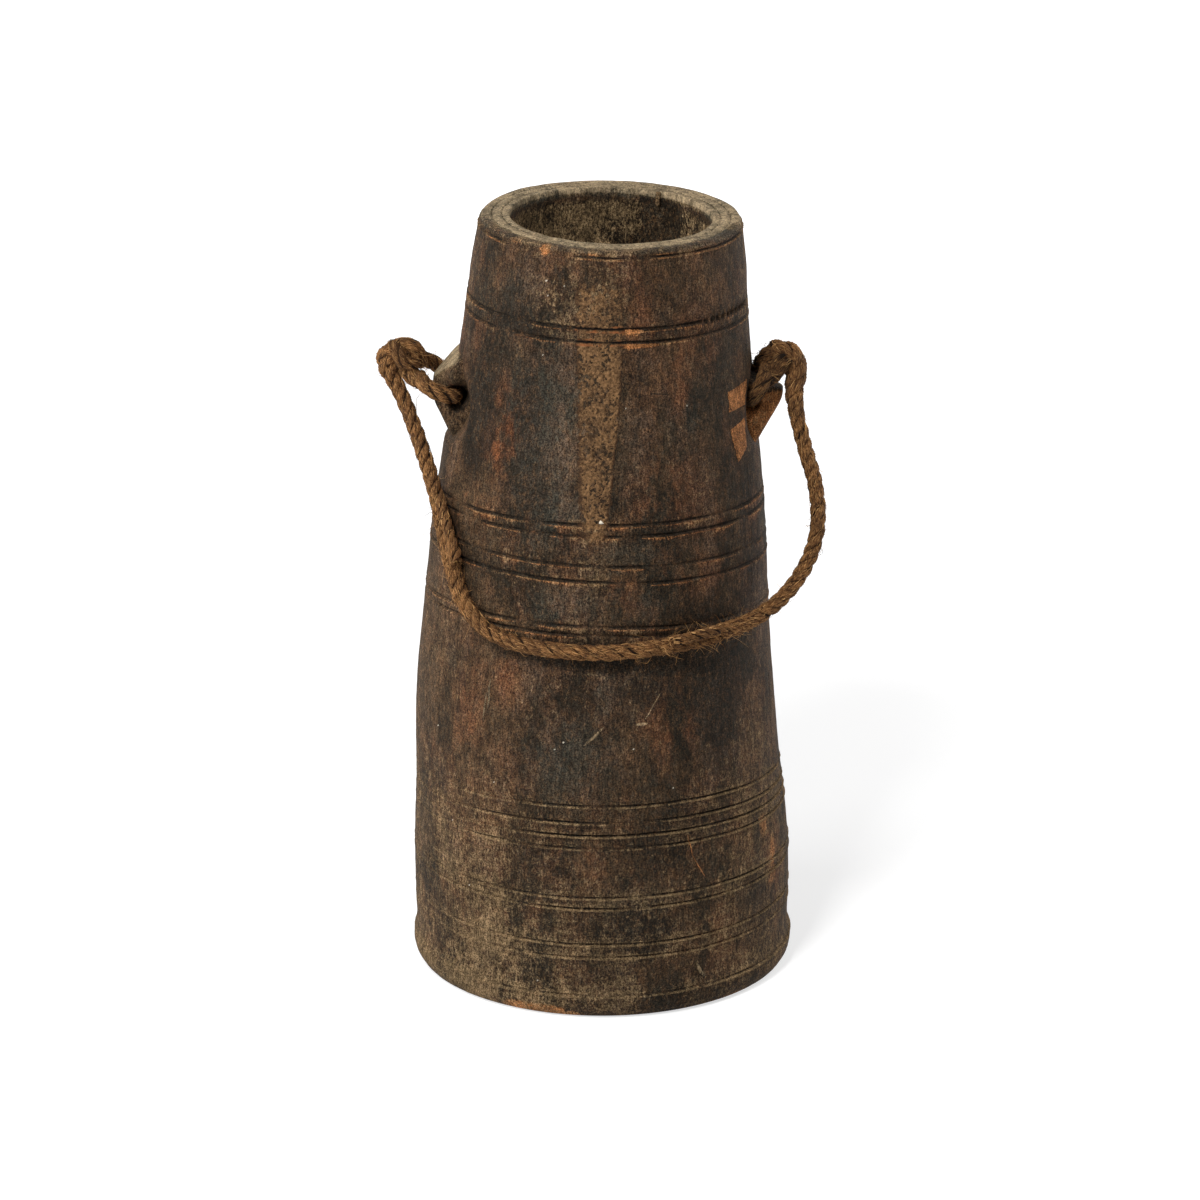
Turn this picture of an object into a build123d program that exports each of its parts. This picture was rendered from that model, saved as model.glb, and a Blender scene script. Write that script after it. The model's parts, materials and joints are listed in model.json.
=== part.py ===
from build123d import *
import os
from math import pi, radians, tan

# A turned wooden piggin: one hollowed log with two pierced lugs, a filled crack and a rope bail.
# Millimetres. +Z is the turning axis, Z = 0 is the floor, the lugs lie along X and the front faces -Y.

# Outside of the log: radii, and heights above the floor
HEIGHT = 380
BASE_RADIUS = 90
FOOT_RADIUS = 94
FOOT_HEIGHT = 14
WAIST_RADIUS = 91.7
BELLY_HEIGHT = 58
BELLY_RADIUS = 93.1
MIDDLE_HEIGHT = 150
MIDDLE_RADIUS = 88.2
SHOULDER_HEIGHT = 250
SHOULDER_RADIUS = 79.2
NECK_BELOW_RIM = 55
NECK_RADIUS = 69.5
RIM_RADIUS = 62.8
RIM_ROUNDING = 2.5

# Hollow of the log
MOUTH_RADIUS = 48.9
MOUTH_DEPTH = 45
MOUTH_ROUNDING = 1.5
WALL = 14
FLOOR = 22
FLOOR_ROUNDING = 18

# Turned line grooves
GROOVE_WIDTH = 2.2
GROOVE_DEPTH = 1.1
GROOVES_BELOW_RIM = [6.0, 36.0, 41.3]
FOOT_GROOVES = [32.7, 39.5, 58.4, 64.1]
BELLY_GROOVES = [89.4, 95.8, 102.4, 110.8]
SHOULDER_GROOVES = [195.8, 200.1, 222.2, 230.0, 244.6, 250.1]

# Filled crack down the front, from under the rim
FILLER_TOP_BELOW_RIM = 12
FILLER_BOTTOM = 235
FILLER_TOP_WIDTH = 22
FILLER_BOTTOM_WIDTH = 11
FILLER_CORNER = 4
FILLER_DEPTH = 2.5

# Rope, and the line that the bail swings about
ROPE_DIAMETER = 7.6
STRAND_DIAMETER = 4.6
HINGE_HEIGHT = 314
SWING_CLEARANCE = 0.3

# Lugs: the holes run along Y, and each lug is carved round its hole, between two gouged hollows
HOLE_REACH = 71
HOLE_PLAY = 3.2
GOUGE_REACH = 68.5
GOUGE_RADIUS = 40
GOUGE_WIDTH = 60
LUG_ROOT_THICKNESS = 24
LUG_TIP_THICKNESS = 10
LUG_CORNER = 2
LEFT_HOLE_BELOW_HINGE = 21.5
LEFT_LUG_REACH = 83
LEFT_LUG_TOP = 22
LEFT_LUG_TIP = 8.5
LEFT_LUG_EDGE = 11
LEFT_LUG_BOTTOM = 20.5
RIGHT_HOLE_BELOW_HINGE = 23.5
RIGHT_LUG_REACH = 88.5
RIGHT_LUG_TOP = 9
RIGHT_LUG_TIP = 4
RIGHT_LUG_EDGE = 5
RIGHT_LUG_BOTTOM = 22

# Knots: an upper pair of turns round the hinge line, open at the outer end for the bail, and a lower turn
KNOT_LENGTH = 12
KNOT_RADIUS = 6.9
KNOT_TURNS = 2
LOWER_TURN_RADIUS = 5
LOWER_TURN_DROP = 9.5
LEFT_KNOT_FACE = 97
RIGHT_KNOT_FACE = 88.5
BAIL_IN_KNOT = 5

# Rope routes: across, forward (-) or back, and up from the hinge line or from the hole's axis
BAIL_ROUTE = [
    (BAIL_IN_KNOT - LEFT_KNOT_FACE, 0, 0),
    (-101.0, 0, 0),
    (-106.5, -0.5, -7.5),
    (-100.0, -3.5, -21.5),
    (-89.0, -12.0, -43.0),
    (-79.5, -28.0, -66.0),
    (-73.0, -47.0, -87.5),
    (-67.0, -58.5, -110.5),
    (-52.0, -73.5, -122.5),
    (-26.0, -86.5, -124.5),
    (3.0, -90.5, -125.0),
    (32.0, -84.5, -123.5),
    (57.0, -70.0, -122.0),
    (78.0, -49.5, -121.0),
    (95.5, -38.0, -108.0),
    (106.0, -29.0, -88.0),
    (106.0, -20.5, -66.0),
    (99.0, -12.0, -45.0),
    (94.0, -5.0, -22.0),
    (97.5, -1.0, -8.5),
    (92.0, 0, 0),
    (RIGHT_KNOT_FACE - BAIL_IN_KNOT, 0, 0),
]
LEFT_LOOP_ROUTE = [
    (17.0, 4.0, 15.0),
    (14.4, 9.8, 12.8),
    (10.7, 16.0, 9.4),
    (5.1, 17.5, 4.6),
    (0.8, 12.5, 0.8),
    (0.8, -12.5, 0.8),
    (6.0, -17.5, 3.3),
    (12.4, -15.5, 6.2),
    (15.4, -9.6, 7.9),
    (17.0, -4.0, 8.5),
]
RIGHT_LOOP_ROUTE = [
    (9.5, 4.2, 14.5),
    (8.6, 9.6, 13.2),
    (7.0, 15.6, 10.5),
    (3.9, 17.5, 5.0),
    (0.8, 12.5, 0.8),
    (0.8, -12.5, 0.8),
    (4.2, -17.7, 5.0),
    (7.6, -15.8, 10.8),
    (9.3, -9.8, 13.7),
    (10.0, -4.2, 15.0),
]
LEFT_END_ROUTE = [(-80.0, -34.0, -63.0), (-75.4, -47.4, -77.5), (-70.6, -57.0, -92.5)]
RIGHT_END_ROUTE = [(34.4, -88.8, -119.6), (47.6, -82.0, -118.4), (59.6, -73.2, -118.2)]
BEND_SHARE = 0.45

ROPE_RADIUS = ROPE_DIAMETER / 2
HOLE_RADIUS = (ROPE_DIAMETER + HOLE_PLAY) / 2
HINGE_LINE = Axis((0, 0, HINGE_HEIGHT), (1, 0, 0))


def wall_points(inset):
    """Points of the wall's outline, from the foot's top to the rim, each moved in by the inset."""
    outline = [
        (WAIST_RADIUS, FOOT_HEIGHT),
        (BELLY_RADIUS, BELLY_HEIGHT),
        (MIDDLE_RADIUS, MIDDLE_HEIGHT),
        (SHOULDER_RADIUS, SHOULDER_HEIGHT),
        (NECK_RADIUS, HEIGHT - NECK_BELOW_RIM),
        (RIM_RADIUS, HEIGHT),
    ]
    return [(radius - inset, height) for radius, height in outline]


def turned_log(inset):
    """A turned solid bounded by the wall's outline, moved in by the inset."""
    wall = wall_points(inset)
    with BuildPart() as log:
        with BuildSketch(Plane.XZ):
            with BuildLine():
                Line((0, 0), (BASE_RADIUS - inset, 0))
                ThreePointArc((BASE_RADIUS - inset, 0), (FOOT_RADIUS - inset, FOOT_HEIGHT / 2), wall[0])
                Spline(*wall)
                Line(wall[-1], (0, HEIGHT))
                Line((0, HEIGHT), (0, 0))
            make_face()
        revolve(axis=Axis.Z)
    return log.part


def wall_radius(height):
    """Radius of the wall's outline at a height, found by halving along the curve."""
    low, high = 0.0, 1.0
    while high - low > 1e-6:
        middle = (low + high) / 2
        if (wall_curve @ middle).Y < height:
            low = middle
        else:
            high = middle
    return (wall_curve @ low).X


def carved_lug(reach, hole_height, above, tip, edge, below):
    """A lug on the +X side: a side outline, then tapered in plan from its root to its tip."""
    root = MOUTH_RADIUS
    with BuildPart() as lug:
        with BuildSketch(Plane.XZ):
            with BuildLine():
                Polyline(
                    (root, hole_height - below),
                    (wall_radius(hole_height - below), hole_height - below),
                    (reach, hole_height + tip - edge),
                    (reach, hole_height + tip),
                    (wall_radius(hole_height + above), hole_height + above),
                    (root, hole_height + above),
                    close=True,
                )
            make_face()
        extrude(amount=LUG_ROOT_THICKNESS / 2, both=True)
        with BuildSketch(Plane.XY.offset(hole_height - below)):
            with BuildLine():
                Polyline(
                    (root, -LUG_ROOT_THICKNESS / 2),
                    (HOLE_REACH, -LUG_ROOT_THICKNESS / 2),
                    (reach, -LUG_TIP_THICKNESS / 2),
                    (reach, LUG_TIP_THICKNESS / 2),
                    (HOLE_REACH, LUG_ROOT_THICKNESS / 2),
                    (root, LUG_ROOT_THICKNESS / 2),
                    close=True,
                )
            make_face()
        extrude(amount=above + below, mode=Mode.INTERSECT)
        fillet(lug.faces().sort_by(Axis.X)[-1].edges(), LUG_CORNER)
    return lug.part


def route_radii(points, title):
    """The radius of each bend of a route: as large as the shorter run at that corner allows."""
    corners = [Vector(point) for point in points]
    runs = [end - start for start, end in zip(corners, corners[1:])]
    radii = []
    for before, after in zip(runs, runs[1:]):
        shorter = min(before.length, after.length)
        radii.append(BEND_SHARE * shorter / tan(radians(before.get_angle(after) / 2)))
    print(title, "bend radii", [round(radius, 1) for radius in radii])
    return radii


def rope_tube(points, diameter, title):
    """A round rope along straight runs joined by tangent arcs."""
    with BuildPart() as tube:
        with BuildLine() as route:
            FilletPolyline(points, radius=route_radii(points, title))
        path = route.wires()[0]
        with BuildSketch(Plane(origin=path @ 0, z_dir=path % 0)):
            Circle(diameter / 2)
        sweep(path=path)
    length = path.length
    plain = pi * diameter**2 / 4 * length
    share = tube.part.volume / plain
    print(title, "length", round(length, 1), "volume against section by length", round(share, 4))
    return tube.part


def knot(side, face):
    """Turns of rope round the hinge line, with a bore for the bail at the outer end and a turn below."""
    turn = KNOT_LENGTH / KNOT_TURNS / 2
    crest = HINGE_HEIGHT + KNOT_RADIUS - turn
    inner = face - KNOT_LENGTH
    depth = BAIL_IN_KNOT + SWING_CLEARANCE
    with BuildPart() as turns:
        with BuildSketch(Plane.XZ):
            with BuildLine():
                Polyline(
                    (side * inner, HINGE_HEIGHT),
                    (side * inner, crest),
                    (side * face, crest),
                    (side * face, HINGE_HEIGHT),
                    close=True,
                )
            make_face()
            for number in range(KNOT_TURNS):
                with Locations((side * (inner + turn * (1 + 2 * number)), crest)):
                    Circle(turn)
        revolve(axis=HINGE_LINE)
        with Locations((side * (inner + face) / 2, 0, HINGE_HEIGHT - LOWER_TURN_DROP)):
            Cylinder(LOWER_TURN_RADIUS, KNOT_LENGTH, rotation=(0, 90, 0))
        with Locations((side * (face - depth / 2), 0, HINGE_HEIGHT)):
            Cylinder(ROPE_RADIUS + SWING_CLEARANCE, depth, rotation=(0, 90, 0), mode=Mode.SUBTRACT)
    return turns.part


def from_hinge(points):
    """Route points given from the hinge line, in the part's frame."""
    return [(x, y, HINGE_HEIGHT + up) for x, y, up in points]


def from_hole(points, side, hole_height):
    """Route points given from a lug hole's axis, in the part's frame."""
    return [(side * (HOLE_REACH + out), y, hole_height + up) for out, y, up in points]


wall_curve = Spline(*wall_points(0))
left_hole_height = HINGE_HEIGHT - LEFT_HOLE_BELOW_HINGE
right_hole_height = HINGE_HEIGHT - RIGHT_HOLE_BELOW_HINGE
left_lug = carved_lug(
    LEFT_LUG_REACH, left_hole_height, LEFT_LUG_TOP, LEFT_LUG_TIP, LEFT_LUG_EDGE, LEFT_LUG_BOTTOM
)
right_lug = carved_lug(
    RIGHT_LUG_REACH, right_hole_height, RIGHT_LUG_TOP, RIGHT_LUG_TIP, RIGHT_LUG_EDGE, RIGHT_LUG_BOTTOM
)
solid_log = turned_log(0)
log_under_filler = turned_log(FILLER_DEPTH)
rim_grooves = [HEIGHT - drop for drop in GROOVES_BELOW_RIM]
groove_heights = FOOT_GROOVES + BELLY_GROOVES + SHOULDER_GROOVES + rim_grooves

# Log with its turned grooves, before it is hollowed
with BuildPart() as grooved_log:
    add(solid_log)
    with BuildSketch(Plane.XZ):
        for height in groove_heights:
            radius = wall_radius(height)
            with BuildLine():
                Polyline(
                    (radius - GROOVE_DEPTH, height),
                    (radius + GROOVE_DEPTH, height + GROOVE_WIDTH),
                    (radius + GROOVE_DEPTH, height - GROOVE_WIDTH),
                    close=True,
                )
            make_face()
    revolve(axis=Axis.Z, mode=Mode.SUBTRACT)
    fillet(grooved_log.edges().filter_by(GeomType.CIRCLE).group_by(Axis.Z)[-1], RIM_ROUNDING)

# Channel that the filler lies in, tapering down the front
with BuildPart() as channel:
    with BuildSketch(Plane.XZ):
        with BuildLine():
            Polyline(
                (-FILLER_TOP_WIDTH / 2, HEIGHT - FILLER_TOP_BELOW_RIM),
                (FILLER_TOP_WIDTH / 2, HEIGHT - FILLER_TOP_BELOW_RIM),
                (FILLER_BOTTOM_WIDTH / 2, FILLER_BOTTOM),
                (-FILLER_BOTTOM_WIDTH / 2, FILLER_BOTTOM),
                close=True,
            )
        outline = make_face()
        fillet(outline.vertices(), FILLER_CORNER)
    extrude(amount=FOOT_RADIUS)
    add(log_under_filler, mode=Mode.SUBTRACT)

with BuildPart() as crack_filler:
    add(grooved_log.part)
    add(channel.part, mode=Mode.INTERSECT)

with BuildPart() as vessel:
    add(grooved_log.part)
    gouge_axis = GOUGE_REACH + GOUGE_RADIUS
    with Locations((gouge_axis, 0, right_hole_height), (-gouge_axis, 0, left_hole_height)):
        Cylinder(GOUGE_RADIUS, GOUGE_WIDTH, rotation=(90, 0, 0), mode=Mode.SUBTRACT)
    add(right_lug)
    add(mirror(left_lug, about=Plane.YZ, mode=Mode.PRIVATE))
    with BuildSketch(Plane.XZ):
        with BuildLine():
            floor_edge = (BELLY_RADIUS - WALL - FLOOR_ROUNDING, FLOOR)
            wall_start = (BELLY_RADIUS - WALL, FLOOR + FLOOR_ROUNDING)
            Line((0, FLOOR), floor_edge)
            RadiusArc(floor_edge, wall_start, -FLOOR_ROUNDING)
            Spline(
                wall_start,
                (MIDDLE_RADIUS - WALL, MIDDLE_HEIGHT),
                (SHOULDER_RADIUS - WALL, SHOULDER_HEIGHT),
                (MOUTH_RADIUS, HEIGHT - MOUTH_DEPTH),
            )
            Line((MOUTH_RADIUS, HEIGHT - MOUTH_DEPTH), (MOUTH_RADIUS, HEIGHT))
            Line((MOUTH_RADIUS, HEIGHT), (0, HEIGHT))
            Line((0, HEIGHT), (0, FLOOR))
        make_face()
    revolve(axis=Axis.Z, mode=Mode.SUBTRACT)
    top_edges = vessel.edges().filter_by(GeomType.CIRCLE).group_by(Axis.Z)[-1]
    fillet(top_edges.sort_by(SortBy.RADIUS)[0], MOUTH_ROUNDING)
    with Locations((HOLE_REACH, 0, right_hole_height), (-HOLE_REACH, 0, left_hole_height)):
        Cylinder(HOLE_RADIUS, 2 * FOOT_RADIUS, rotation=(90, 0, 0), mode=Mode.SUBTRACT)
    add(channel.part, mode=Mode.SUBTRACT)

left_loop_points = from_hole(LEFT_LOOP_ROUTE, -1, left_hole_height)
right_loop_points = from_hole(RIGHT_LOOP_ROUTE, 1, right_hole_height)
pieces = {
    "vessel": vessel.part,
    "crack_filler": crack_filler.part,
    "left_lug_loop": rope_tube(left_loop_points, ROPE_DIAMETER, "left loop"),
    "right_lug_loop": rope_tube(right_loop_points, ROPE_DIAMETER, "right loop"),
    "left_knot": knot(-1, LEFT_KNOT_FACE),
    "right_knot": knot(1, RIGHT_KNOT_FACE),
    "rope_handle": rope_tube(from_hinge(BAIL_ROUTE), ROPE_DIAMETER, "bail"),
    "left_tucked_end": rope_tube(from_hinge(LEFT_END_ROUTE), STRAND_DIAMETER, "left end"),
    "right_tucked_end": rope_tube(from_hinge(RIGHT_END_ROUTE), STRAND_DIAMETER, "right end"),
}
os.makedirs("parts", exist_ok=True)
for name, piece in pieces.items():
    piece.label = name
    export_step(piece, f"parts/{name}.step")
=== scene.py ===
# %% [markdown]
# # A turned wooden piggin with a rope bail
# The vessel is one log, turned on a lathe, hollowed, and carved with a pierced lug on each side. A crack
# down its front was filled long ago. A laid rope hangs from the lugs as a bail. This lesson dresses the
# plain solids of that vessel: each step explains a piece of the real thing, then works out its surface with
# numpy. First the solids come in. They fix every place and size, and nothing below moves them.

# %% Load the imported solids
import json
import math

import bpy
import numpy as np
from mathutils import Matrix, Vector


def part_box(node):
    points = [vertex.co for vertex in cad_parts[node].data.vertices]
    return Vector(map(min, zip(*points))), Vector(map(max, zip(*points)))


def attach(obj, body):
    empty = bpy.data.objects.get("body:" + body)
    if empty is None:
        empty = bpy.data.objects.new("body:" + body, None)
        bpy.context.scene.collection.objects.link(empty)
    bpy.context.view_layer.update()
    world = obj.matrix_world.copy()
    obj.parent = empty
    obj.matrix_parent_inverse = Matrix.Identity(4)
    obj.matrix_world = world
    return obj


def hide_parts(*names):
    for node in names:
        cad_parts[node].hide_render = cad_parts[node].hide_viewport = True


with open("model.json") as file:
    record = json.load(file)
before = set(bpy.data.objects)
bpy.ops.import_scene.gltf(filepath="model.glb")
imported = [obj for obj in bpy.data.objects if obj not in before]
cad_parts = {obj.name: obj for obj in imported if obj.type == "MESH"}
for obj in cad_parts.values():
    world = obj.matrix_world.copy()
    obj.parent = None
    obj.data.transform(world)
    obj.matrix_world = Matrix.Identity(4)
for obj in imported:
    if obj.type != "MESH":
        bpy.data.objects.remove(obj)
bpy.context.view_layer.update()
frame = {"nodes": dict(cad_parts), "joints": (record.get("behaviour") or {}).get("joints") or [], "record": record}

MM = 0.001
hinge = frame["joints"][0]["pos_m"]
mounts = {mount["name"]: mount for mount in frame["record"]["mounts"]}
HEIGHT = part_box("vessel")[1].z / MM
HINGE_HEIGHT = hinge[2] / MM
MOUTH_RADIUS = mounts["mouth"]["dims"]["r_mm"]
print("solids", sorted(frame["nodes"]), "height", round(HEIGHT, 1), "mm")

# %% [markdown]
# ## Camera
# A long lens a few metres away, looking down a little, gives the flat perspective of a catalogue picture.
# The camera comes before the pieces, so that each piece can be judged from the right place as soon as it is
# made.

# %% Camera
CAMERA_BACK = 2.8245
CAMERA_UP = 1.1919
CAMERA_PITCH = 19.634
LENS_MM = 182.7
SENSOR_MM = 36


def placed(name, data):
    """A new object in the scene."""
    thing = bpy.data.objects.new(name, data)
    bpy.context.scene.collection.objects.link(thing)
    return thing


camera_data = bpy.data.cameras.new("camera")
camera_data.lens = LENS_MM
camera_data.sensor_width = SENSOR_MM
camera = placed("camera", camera_data)
camera.location = (0, -CAMERA_BACK, CAMERA_UP)
camera.rotation_euler = (math.radians(90 - CAMERA_PITCH), 0, 0)
bpy.context.scene.camera = camera
print("camera at", tuple(round(value, 3) for value in camera.location))

# %% [markdown]
# ## Helpers for shapes
# Two ideas carry the whole lesson. A smooth curve through a few points gives outlines that a lathe could
# turn. A lattice of seeded random heights, blended from cell to cell, gives the unevenness of wear, which
# is the same on every run. Both work on whole arrays. Short helpers for vectors follow them.

# %% Smooth curves and seeded unevenness
LATTICE = 256


def smooth_curve(at, places, values):
    """A smooth line through points: between two points, the cubic with their values and their mean slopes."""
    places = np.asarray(places, float)
    values = np.asarray(values, float)
    slopes = np.gradient(values, places)
    at = np.clip(at, places[0], places[-1])
    left = np.clip(np.searchsorted(places, at, "right") - 1, 0, len(places) - 2)
    run = places[left + 1] - places[left]
    t = (at - places[left]) / run
    start = (2 * t**3 - 3 * t**2 + 1) * values[left] + (t**3 - 2 * t**2 + t) * run * slopes[left]
    end = (3 * t**2 - 2 * t**3) * values[left + 1] + (t**3 - t**2) * run * slopes[left + 1]
    return start + end


def lattice_noise(across, along, seed, around=LATTICE):
    """Random heights from -1 to 1 on a lattice, eased from corner to corner. around cells make a turn."""
    table = np.random.default_rng(seed).uniform(-1, 1, (around, LATTICE))
    across, along = np.broadcast_arrays(across, along)
    column, row = np.floor(across).astype(int), np.floor(along).astype(int)
    u, v = across - column, along - row
    u, v = u * u * (3 - 2 * u), v * v * (3 - 2 * v)
    low, high = column % around, (column + 1) % around
    below, above = row % LATTICE, (row + 1) % LATTICE
    lower = table[low, below] * (1 - u) + table[high, below] * u
    upper = table[low, above] * (1 - u) + table[high, above] * u
    return lower * (1 - v) + upper * v


def rough(across, along, seed, around=LATTICE, octaves=3):
    """Lattice noise added to finer, weaker copies of itself, each half as large and half as strong."""
    layers = range(octaves)
    parts = [lattice_noise(across * 2**k, along * 2**k, seed + k, around * 2**k) / 2**k for k in layers]
    return sum(parts) / sum(0.5**k for k in layers)


def step(value, low, high):
    """Nothing below low, all above high, and an eased climb between them."""
    t = np.clip((value - low) / (high - low), 0, 1)
    return t * t * (3 - 2 * t)


def stacked(*values):
    """Values side by side on a new last axis, each filled out to the same shape."""
    return np.stack(np.broadcast_arrays(*values), axis=-1)


def unit(vectors):
    """Vectors made one long."""
    return vectors / np.linalg.norm(vectors, axis=-1, keepdims=True)


def full_turn(count):
    """Evenly spaced angles that fill one turn."""
    return np.linspace(0, 2 * np.pi, count, endpoint=False)


def spokes(turn, first, second):
    """Directions at angles from a first vector towards a second one that lies across it."""
    return np.cos(turn)[..., None] * first + np.sin(turn)[..., None] * second


print("unevenness runs from -1 to 1, for example", np.round(lattice_noise(np.arange(4) + 0.5, 0.5, 1), 2))

# %% [markdown]
# ## From a grid to a mesh
# Each piece is a grid of points: rows along the piece, columns round it. Quads join neighbouring points,
# and the last column joins the first. At the two ends a fan closes the skin, or the last row joins the
# first, as in a ring. Numbers that a finish needs, such as dust or bare wood, go into the mesh as
# attributes of its points.

# %% Mesh from a grid
def grid_faces(tubes, rows, columns, ring):
    """Quads between neighbours in each tube's grid, joined round each row, and fans over a tube's ends."""
    index = np.arange(tubes * rows * columns).reshape(tubes, rows, columns)
    turned = np.concatenate([index, index[:, :, :1]], axis=2)
    if ring:
        turned = np.concatenate([turned, turned[:, :1]], axis=1)
    corners = [turned[:, :-1, :-1], turned[:, :-1, 1:], turned[:, 1:, 1:], turned[:, 1:, :-1]]
    quads = stacked(*corners).reshape(-1, 4)
    if ring:
        return quads.tolist()
    middles = index.size + np.arange(2 * tubes).reshape(2, tubes, 1) + np.zeros(columns, int)
    first = stacked(middles[0], turned[:, 0, 1:], turned[:, 0, :-1]).reshape(-1, 3)
    last = stacked(middles[1], turned[:, -1, :-1], turned[:, -1, 1:]).reshape(-1, 3)
    return quads.tolist() + first.tolist() + last.tolist()


def listed(values, ring):
    """Values on grids as one list, and for a tube the means of its first rows and of its last rows."""
    flat = values.reshape(-1, 3)
    if ring:
        return flat
    return np.concatenate([flat, values[:, 0].mean(1), values[:, -1].mean(1)])


def skin(name, points, body, node, slot, material, ring=False, **attributes):
    """A closed smooth piece from grids of points in mm, with its attributes, body, node and finish."""
    points = points.reshape((-1,) + points.shape[-3:])
    faces = grid_faces(*points.shape[:3], ring)
    mesh = bpy.data.meshes.new(name)
    mesh.from_pydata((listed(points, ring) * MM).tolist(), [], faces)
    mesh.polygons.foreach_set("use_smooth", np.ones(len(faces), bool))
    for key, values in attributes.items():
        layer = mesh.attributes.new(key, "FLOAT_VECTOR", "POINT")
        numbers = listed(values.reshape(points.shape), ring)
        layer.data.foreach_set("vector", numbers.astype(np.float32).ravel())
    mesh.materials.append(material)
    piece = placed(name, mesh)
    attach(piece, body)
    if node:
        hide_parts(node)
    print(name, "has", sum(len(face) - 2 for face in faces), "triangles")
    return piece


# %% [markdown]
# ## Helpers for finishes
# A finish is a small network of nodes. These helpers keep each network short: noise, an eased range, sums
# and mixes. Each adds its node to the network that its values come from. Colours are written as they look,
# from 0 to 255, and turned into amounts of light.

# %% Node helpers
def tone(red, green, blue):
    """A colour as it looks on a screen, turned into amounts of light."""
    share = np.array([red, green, blue]) / 255
    light = np.where(share <= 0.04045, share / 12.92, ((share + 0.055) / 1.055) ** 2.4)
    return (*light.tolist(), 1.0)


def new_finish(name, roughness, specular):
    """A material with its node tree and its main shader, dull where roughness is high and specular low."""
    material = bpy.data.materials.new(name)
    material.use_nodes = True
    shader = material.node_tree.nodes["Principled BSDF"]
    shader.inputs["Roughness"].default_value = roughness
    shader.inputs["Specular IOR Level"].default_value = specular
    return material, material.node_tree, shader


def is_socket(value):
    """Whether a value comes from a node, and is not a plain number or colour."""
    return isinstance(value, bpy.types.NodeSocket)


def put(value, socket):
    """Links a value to an input, or sets the input to a plain number or colour."""
    if is_socket(value):
        socket.id_data.links.new(value, socket)
    else:
        socket.default_value = value


def node_for(kind, *values):
    """A new node in the network of the first value that comes from a node."""
    return next(filter(is_socket, values)).id_data.nodes.new(kind)


def stretched(vector, across, along):
    """A vector with its sideways parts and its upright part scaled apart, so that a pattern runs one way."""
    node = node_for("ShaderNodeMapping", vector)
    node.inputs["Scale"].default_value = (across, across, along)
    put(vector, node.inputs["Vector"])
    return node.outputs["Vector"]


def noise(vector, scale, detail, roughness):
    """Cloudy values, about 0.5 in the middle."""
    node = node_for("ShaderNodeTexNoise", vector)
    settings = {"Vector": vector, "Scale": scale, "Detail": detail, "Roughness": roughness}
    for key, setting in settings.items():
        put(setting, node.inputs[key])
    return node.outputs["Fac"]


def eased(value, low, high, to_low=0.0, to_high=1.0):
    """A range of values turned into another, with an eased climb."""
    node = node_for("ShaderNodeMapRange", value)
    node.interpolation_type = "SMOOTHSTEP"
    settings = {"Value": value, "From Min": low, "From Max": high, "To Min": to_low, "To Max": to_high}
    for key, setting in settings.items():
        put(setting, node.inputs[key])
    return node.outputs["Result"]


def combined(kind, first, second):
    """Two values brought together by a node of arithmetic."""
    node = node_for("ShaderNodeMath", first, second)
    node.operation = kind
    put(first, node.inputs[0])
    put(second, node.inputs[1])
    return node.outputs["Value"]


def added(first, second):
    """The sum of two values."""
    return combined("ADD", first, second)


def times(first, second):
    """The product of two values."""
    return combined("MULTIPLY", first, second)


def larger(first, second):
    """The larger of two values."""
    return combined("MAXIMUM", first, second)


def mixed(share, first, second, kind="MIX"):
    """Two colours mixed by a share."""
    node = node_for("ShaderNodeMix", share, first, second)
    node.data_type = "RGBA"
    node.blend_type = kind
    put(share, node.inputs["Factor"])
    put(first, node.inputs[6])
    put(second, node.inputs[7])
    return node.outputs[2]


def painted(colour, share, red, green, blue):
    """A colour with a share of another one over it."""
    return mixed(share, colour, tone(red, green, blue))


def from_points(tree, name):
    """A point attribute, as a vector."""
    source = tree.nodes.new("ShaderNodeAttribute")
    source.attribute_name = name
    return source.outputs["Vector"]


def masks(tree, name):
    """The three numbers of a point attribute, as three values."""
    split = tree.nodes.new("ShaderNodeSeparateXYZ")
    put(from_points(tree, name), split.inputs["Vector"])
    return tuple(split.outputs)


def object_place(tree):
    """Places on the piece itself, in metres, so that a pattern stays on the piece as it moves."""
    return tree.nodes.new("ShaderNodeTexCoord").outputs["Object"]


def bumped(shader, height, distance, strength):
    """Small relief on a finish, from a height in shares of a distance."""
    node = node_for("ShaderNodeBump", height)
    node.inputs["Strength"].default_value = strength
    node.inputs["Distance"].default_value = distance
    put(height, node.inputs["Height"])
    put(node.outputs["Normal"], shader.inputs["Normal"])
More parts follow.
